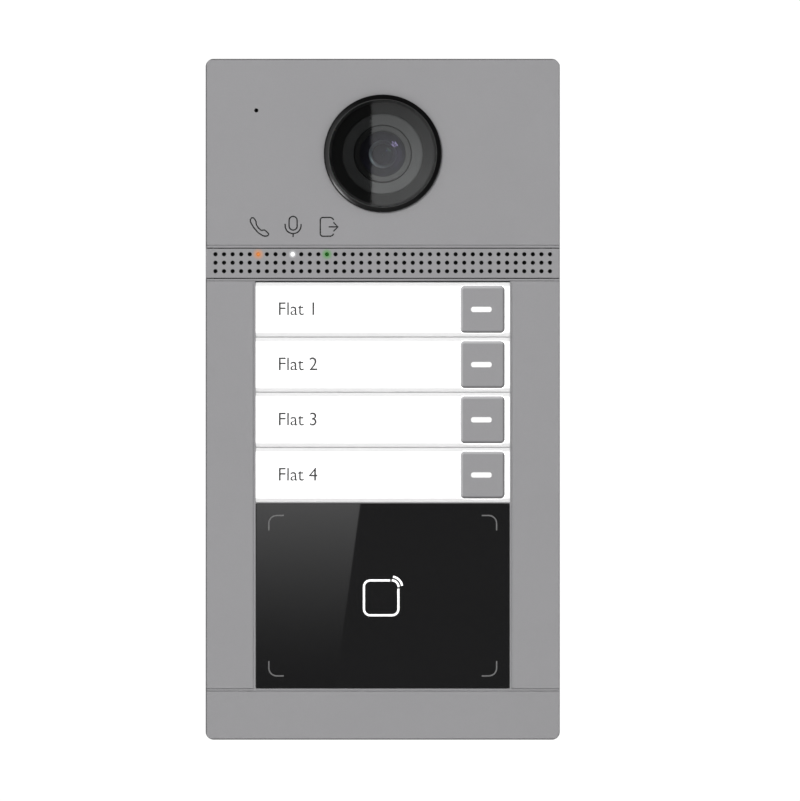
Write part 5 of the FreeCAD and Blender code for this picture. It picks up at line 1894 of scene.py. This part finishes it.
def dress(nodes: dict[str, bpy.types.Object]) -> None:
    """Gives each CAD node that still shows its finish.

    Args:
        nodes: The frame's nodes, by name.
    """
    for name, node in sorted(nodes.items()):
        stem = name[:-2] if name[-2] == "_" and name[-1].isdigit() else name
        finish = NODE_FINISHES.get(stem)
        if finish is None:
            continue
        finish.cover(node)
        LOG.info("%s: %s", name, finish.name)


@dataclass
class Studio:
    """Floor, soft lights, the cards that the gloss reflects, and the camera."""

    distance: float = 3.0
    centre_x: float = 4.41
    centre_z: float = -0.32
    lens: float = 527.7
    floor_depth: float = 300.0
    floor_side: float = 1.6
    key_place: Point = (-0.55, -1.9, 0.6)
    rear_place: Point = (0.9, 1.6, 1.0)
    strip_place: Point = (0.815, -1.53, 0.79)
    strip_size: Flat = (0.44, 0.40)

    def hang(self, card: Model, glow: CardGlow) -> None:
        """Lights a card and hides it from everything but gloss.

        Args:
            card: The card.
            glow: Its light.
        """
        target = card.target
        glow.cover(target)
        target.visible_camera = False
        target.visible_diffuse = False
        target.visible_shadow = False
        target.visible_transmission = False

    def flat_card(self, corners: list[Flat], offset: float, glow: CardGlow) -> None:
        """Adds an upright card near the camera.

        Args:
            corners: Its corners, as X and Z in millimetres.
            offset: How far in front of the camera's plane it stands, in millimetres.
            glow: Its light.
        """
        depth = FASCIA_FRONT - self.distance * 1000 + offset
        card = Model(glow.name).chain([(x, depth, z) for x, z in corners + corners[:1]])
        bpy.ops.mesh.select_all(action="SELECT")
        bpy.ops.mesh.edge_face_add()
        self.hang(card.drop(), glow)

    def strip(self, place: Point, size: Flat, glow: CardGlow) -> None:
        """Adds a bright strip turned towards the panel.

        Args:
            place: Where it stands, in metres.
            size: Its width and height, in metres.
            glow: Its light.
        """
        card = Model(glow.name)
        bpy.ops.mesh.primitive_grid_add(x_subdivisions=2, y_subdivisions=2, size=1.0)
        card.target.name = glow.name
        card.target.scale = (size[0], size[1], 1.0)
        card.target.rotation_euler = (-Vector(place)).to_track_quat("Z", "Y").to_euler()
        card.target.location = place
        self.hang(card, glow)

    def cards(self) -> None:
        """Adds the dark backing card, the lit card of the plates and reader, and the camera window's card."""
        backing = [(-95.0, -175.0), (105.0, -175.0), (105.0, 180.0), (-95.0, 180.0)]
        plates = [(-69.4, -147.7), (-28.8, -147.7), (-0.4, 60.3), (-69.4, 60.3)]
        window = [(-10.0, 94.0), (23.5, 94.0), (23.5, 160.0), (-10.0, 160.0)]
        self.flat_card(backing, 0.0, CardGlow("card_backing", 0.02, 0.02))
        self.flat_card(plates, 2.0, CardGlow("card_plates", 0.0, 1.42, (-145.0, -53.0), 1.8))
        self.flat_card(window, 2.0, CardGlow("card_window", 0.72, 0.30, (116.0, 156.0)))

    def light(self, name: str, place: Point, size: float, power: float, colour: Colour, glossy: bool) -> None:
        """Adds a square soft light that points at the panel.

        Args:
            name: The light's name.
            place: Where it stands, in metres.
            size: Its side, in metres.
            power: Its power, in watts.
            colour: Its colour.
            glossy: Whether gloss shows it.
        """
        bpy.ops.object.light_add(type="AREA", location=place)
        lamp = bpy.context.object
        lamp.name = name
        lamp.data.size = size
        lamp.data.energy = power
        lamp.data.color = colour
        lamp.visible_glossy = glossy
        lamp.rotation_euler = (-Vector(place)).to_track_quat("-Z", "Y").to_euler()

    def world(self) -> None:
        """Sets a white room for the camera and a soft gradient for everything else."""
        world = bpy.data.worlds.new("studio")
        bpy.context.scene.world = world
        world.use_nodes = True
        bench = Bench(world.node_tree)
        x, y, z = bench.axes(bench.out(bench.node("TexCoord"), "Generated"))
        # Soft is what lights the panel, flagged is what its gloss shows of the room in front.
        soft = y.ramp(0.3, -0.95, 0.22, 0.56) + z * 0.03
        front = y.ramp(-0.1, -0.5)
        flagged = 0.05 + x.ramp(0.25, 0.8, 0.0, 1.2) + z.ramp(0.3, 0.9, 0.0, 0.3)
        path = bench.node("LightPath")
        gloss = bench.out(path, "Is Glossy Ray") * front
        level = soft * (1.0 - gloss) + flagged * gloss
        seen = bench.out(path, "Is Camera Ray")
        room = bench.out(bench.node("Background", None, {"Color": grey(1.0), "Strength": level}))
        white = bench.out(bench.node("Background", None, {"Color": grey(1.0), "Strength": 1.05}))
        bench.node("OutputWorld", None, {"Surface": bench.blend(seen, room, white)})

    def floor(self) -> None:
        """Lays a pale floor well below the panel."""
        part = Model("studio_floor")
        bpy.ops.mesh.primitive_grid_add(x_subdivisions=4, y_subdivisions=4, size=self.floor_side,
                                        location=(0.0, 0.0, -self.floor_depth * MM))
        part.target.name = part.name
        part.drop()
        FloorFinish("pale floor", grey(0.80), 0.7, 3.0, 0.05, 0.02).cover(part.target)
        part.target.visible_glossy = False

    def build(self) -> None:
        """Builds the studio."""
        self.floor()
        self.world()
        self.cards()
        self.light("key_light", self.key_place, 0.6, 26.8, (1.0, 0.995, 1.0), False)
        self.light("rear_light", self.rear_place, 0.8, 26.0, grey(1.0), True)
        self.strip(self.strip_place, self.strip_size, CardGlow("spot_upper_right", 12.0, 12.0))
        eye = Vector((self.centre_x, FASCIA_FRONT, self.centre_z)) * MM
        bpy.ops.object.camera_add(location=eye - Vector((0.0, self.distance, 0.0)), rotation=FACING_FRONT)
        camera = bpy.context.object
        camera.data.lens = self.lens
        camera.data.sensor_width = 36.0
        camera.data.sensor_fit = "AUTO"
        camera.data.clip_start = 0.01
        camera.data.clip_end = 20.0
        bpy.context.scene.camera = camera
        bpy.context.scene.view_settings.view_transform = "Standard"
        LOG.info("studio: floor, cards, lights and the camera")


def main() -> None:
    """Loads the frame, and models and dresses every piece."""
    logging.basicConfig(level=logging.INFO, format="%(name)s: %(message)s")
    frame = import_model()
    for assembly in (CameraUnit(), StatusLights(), FrontMarks(), KeyMat(), CableBay(), TamperSpring()):
        LOG.info("building %s", type(assembly).__name__)
        assembly.build()
    dress(frame["nodes"])
    Studio().build()


if __name__ == "__main__":
    main()
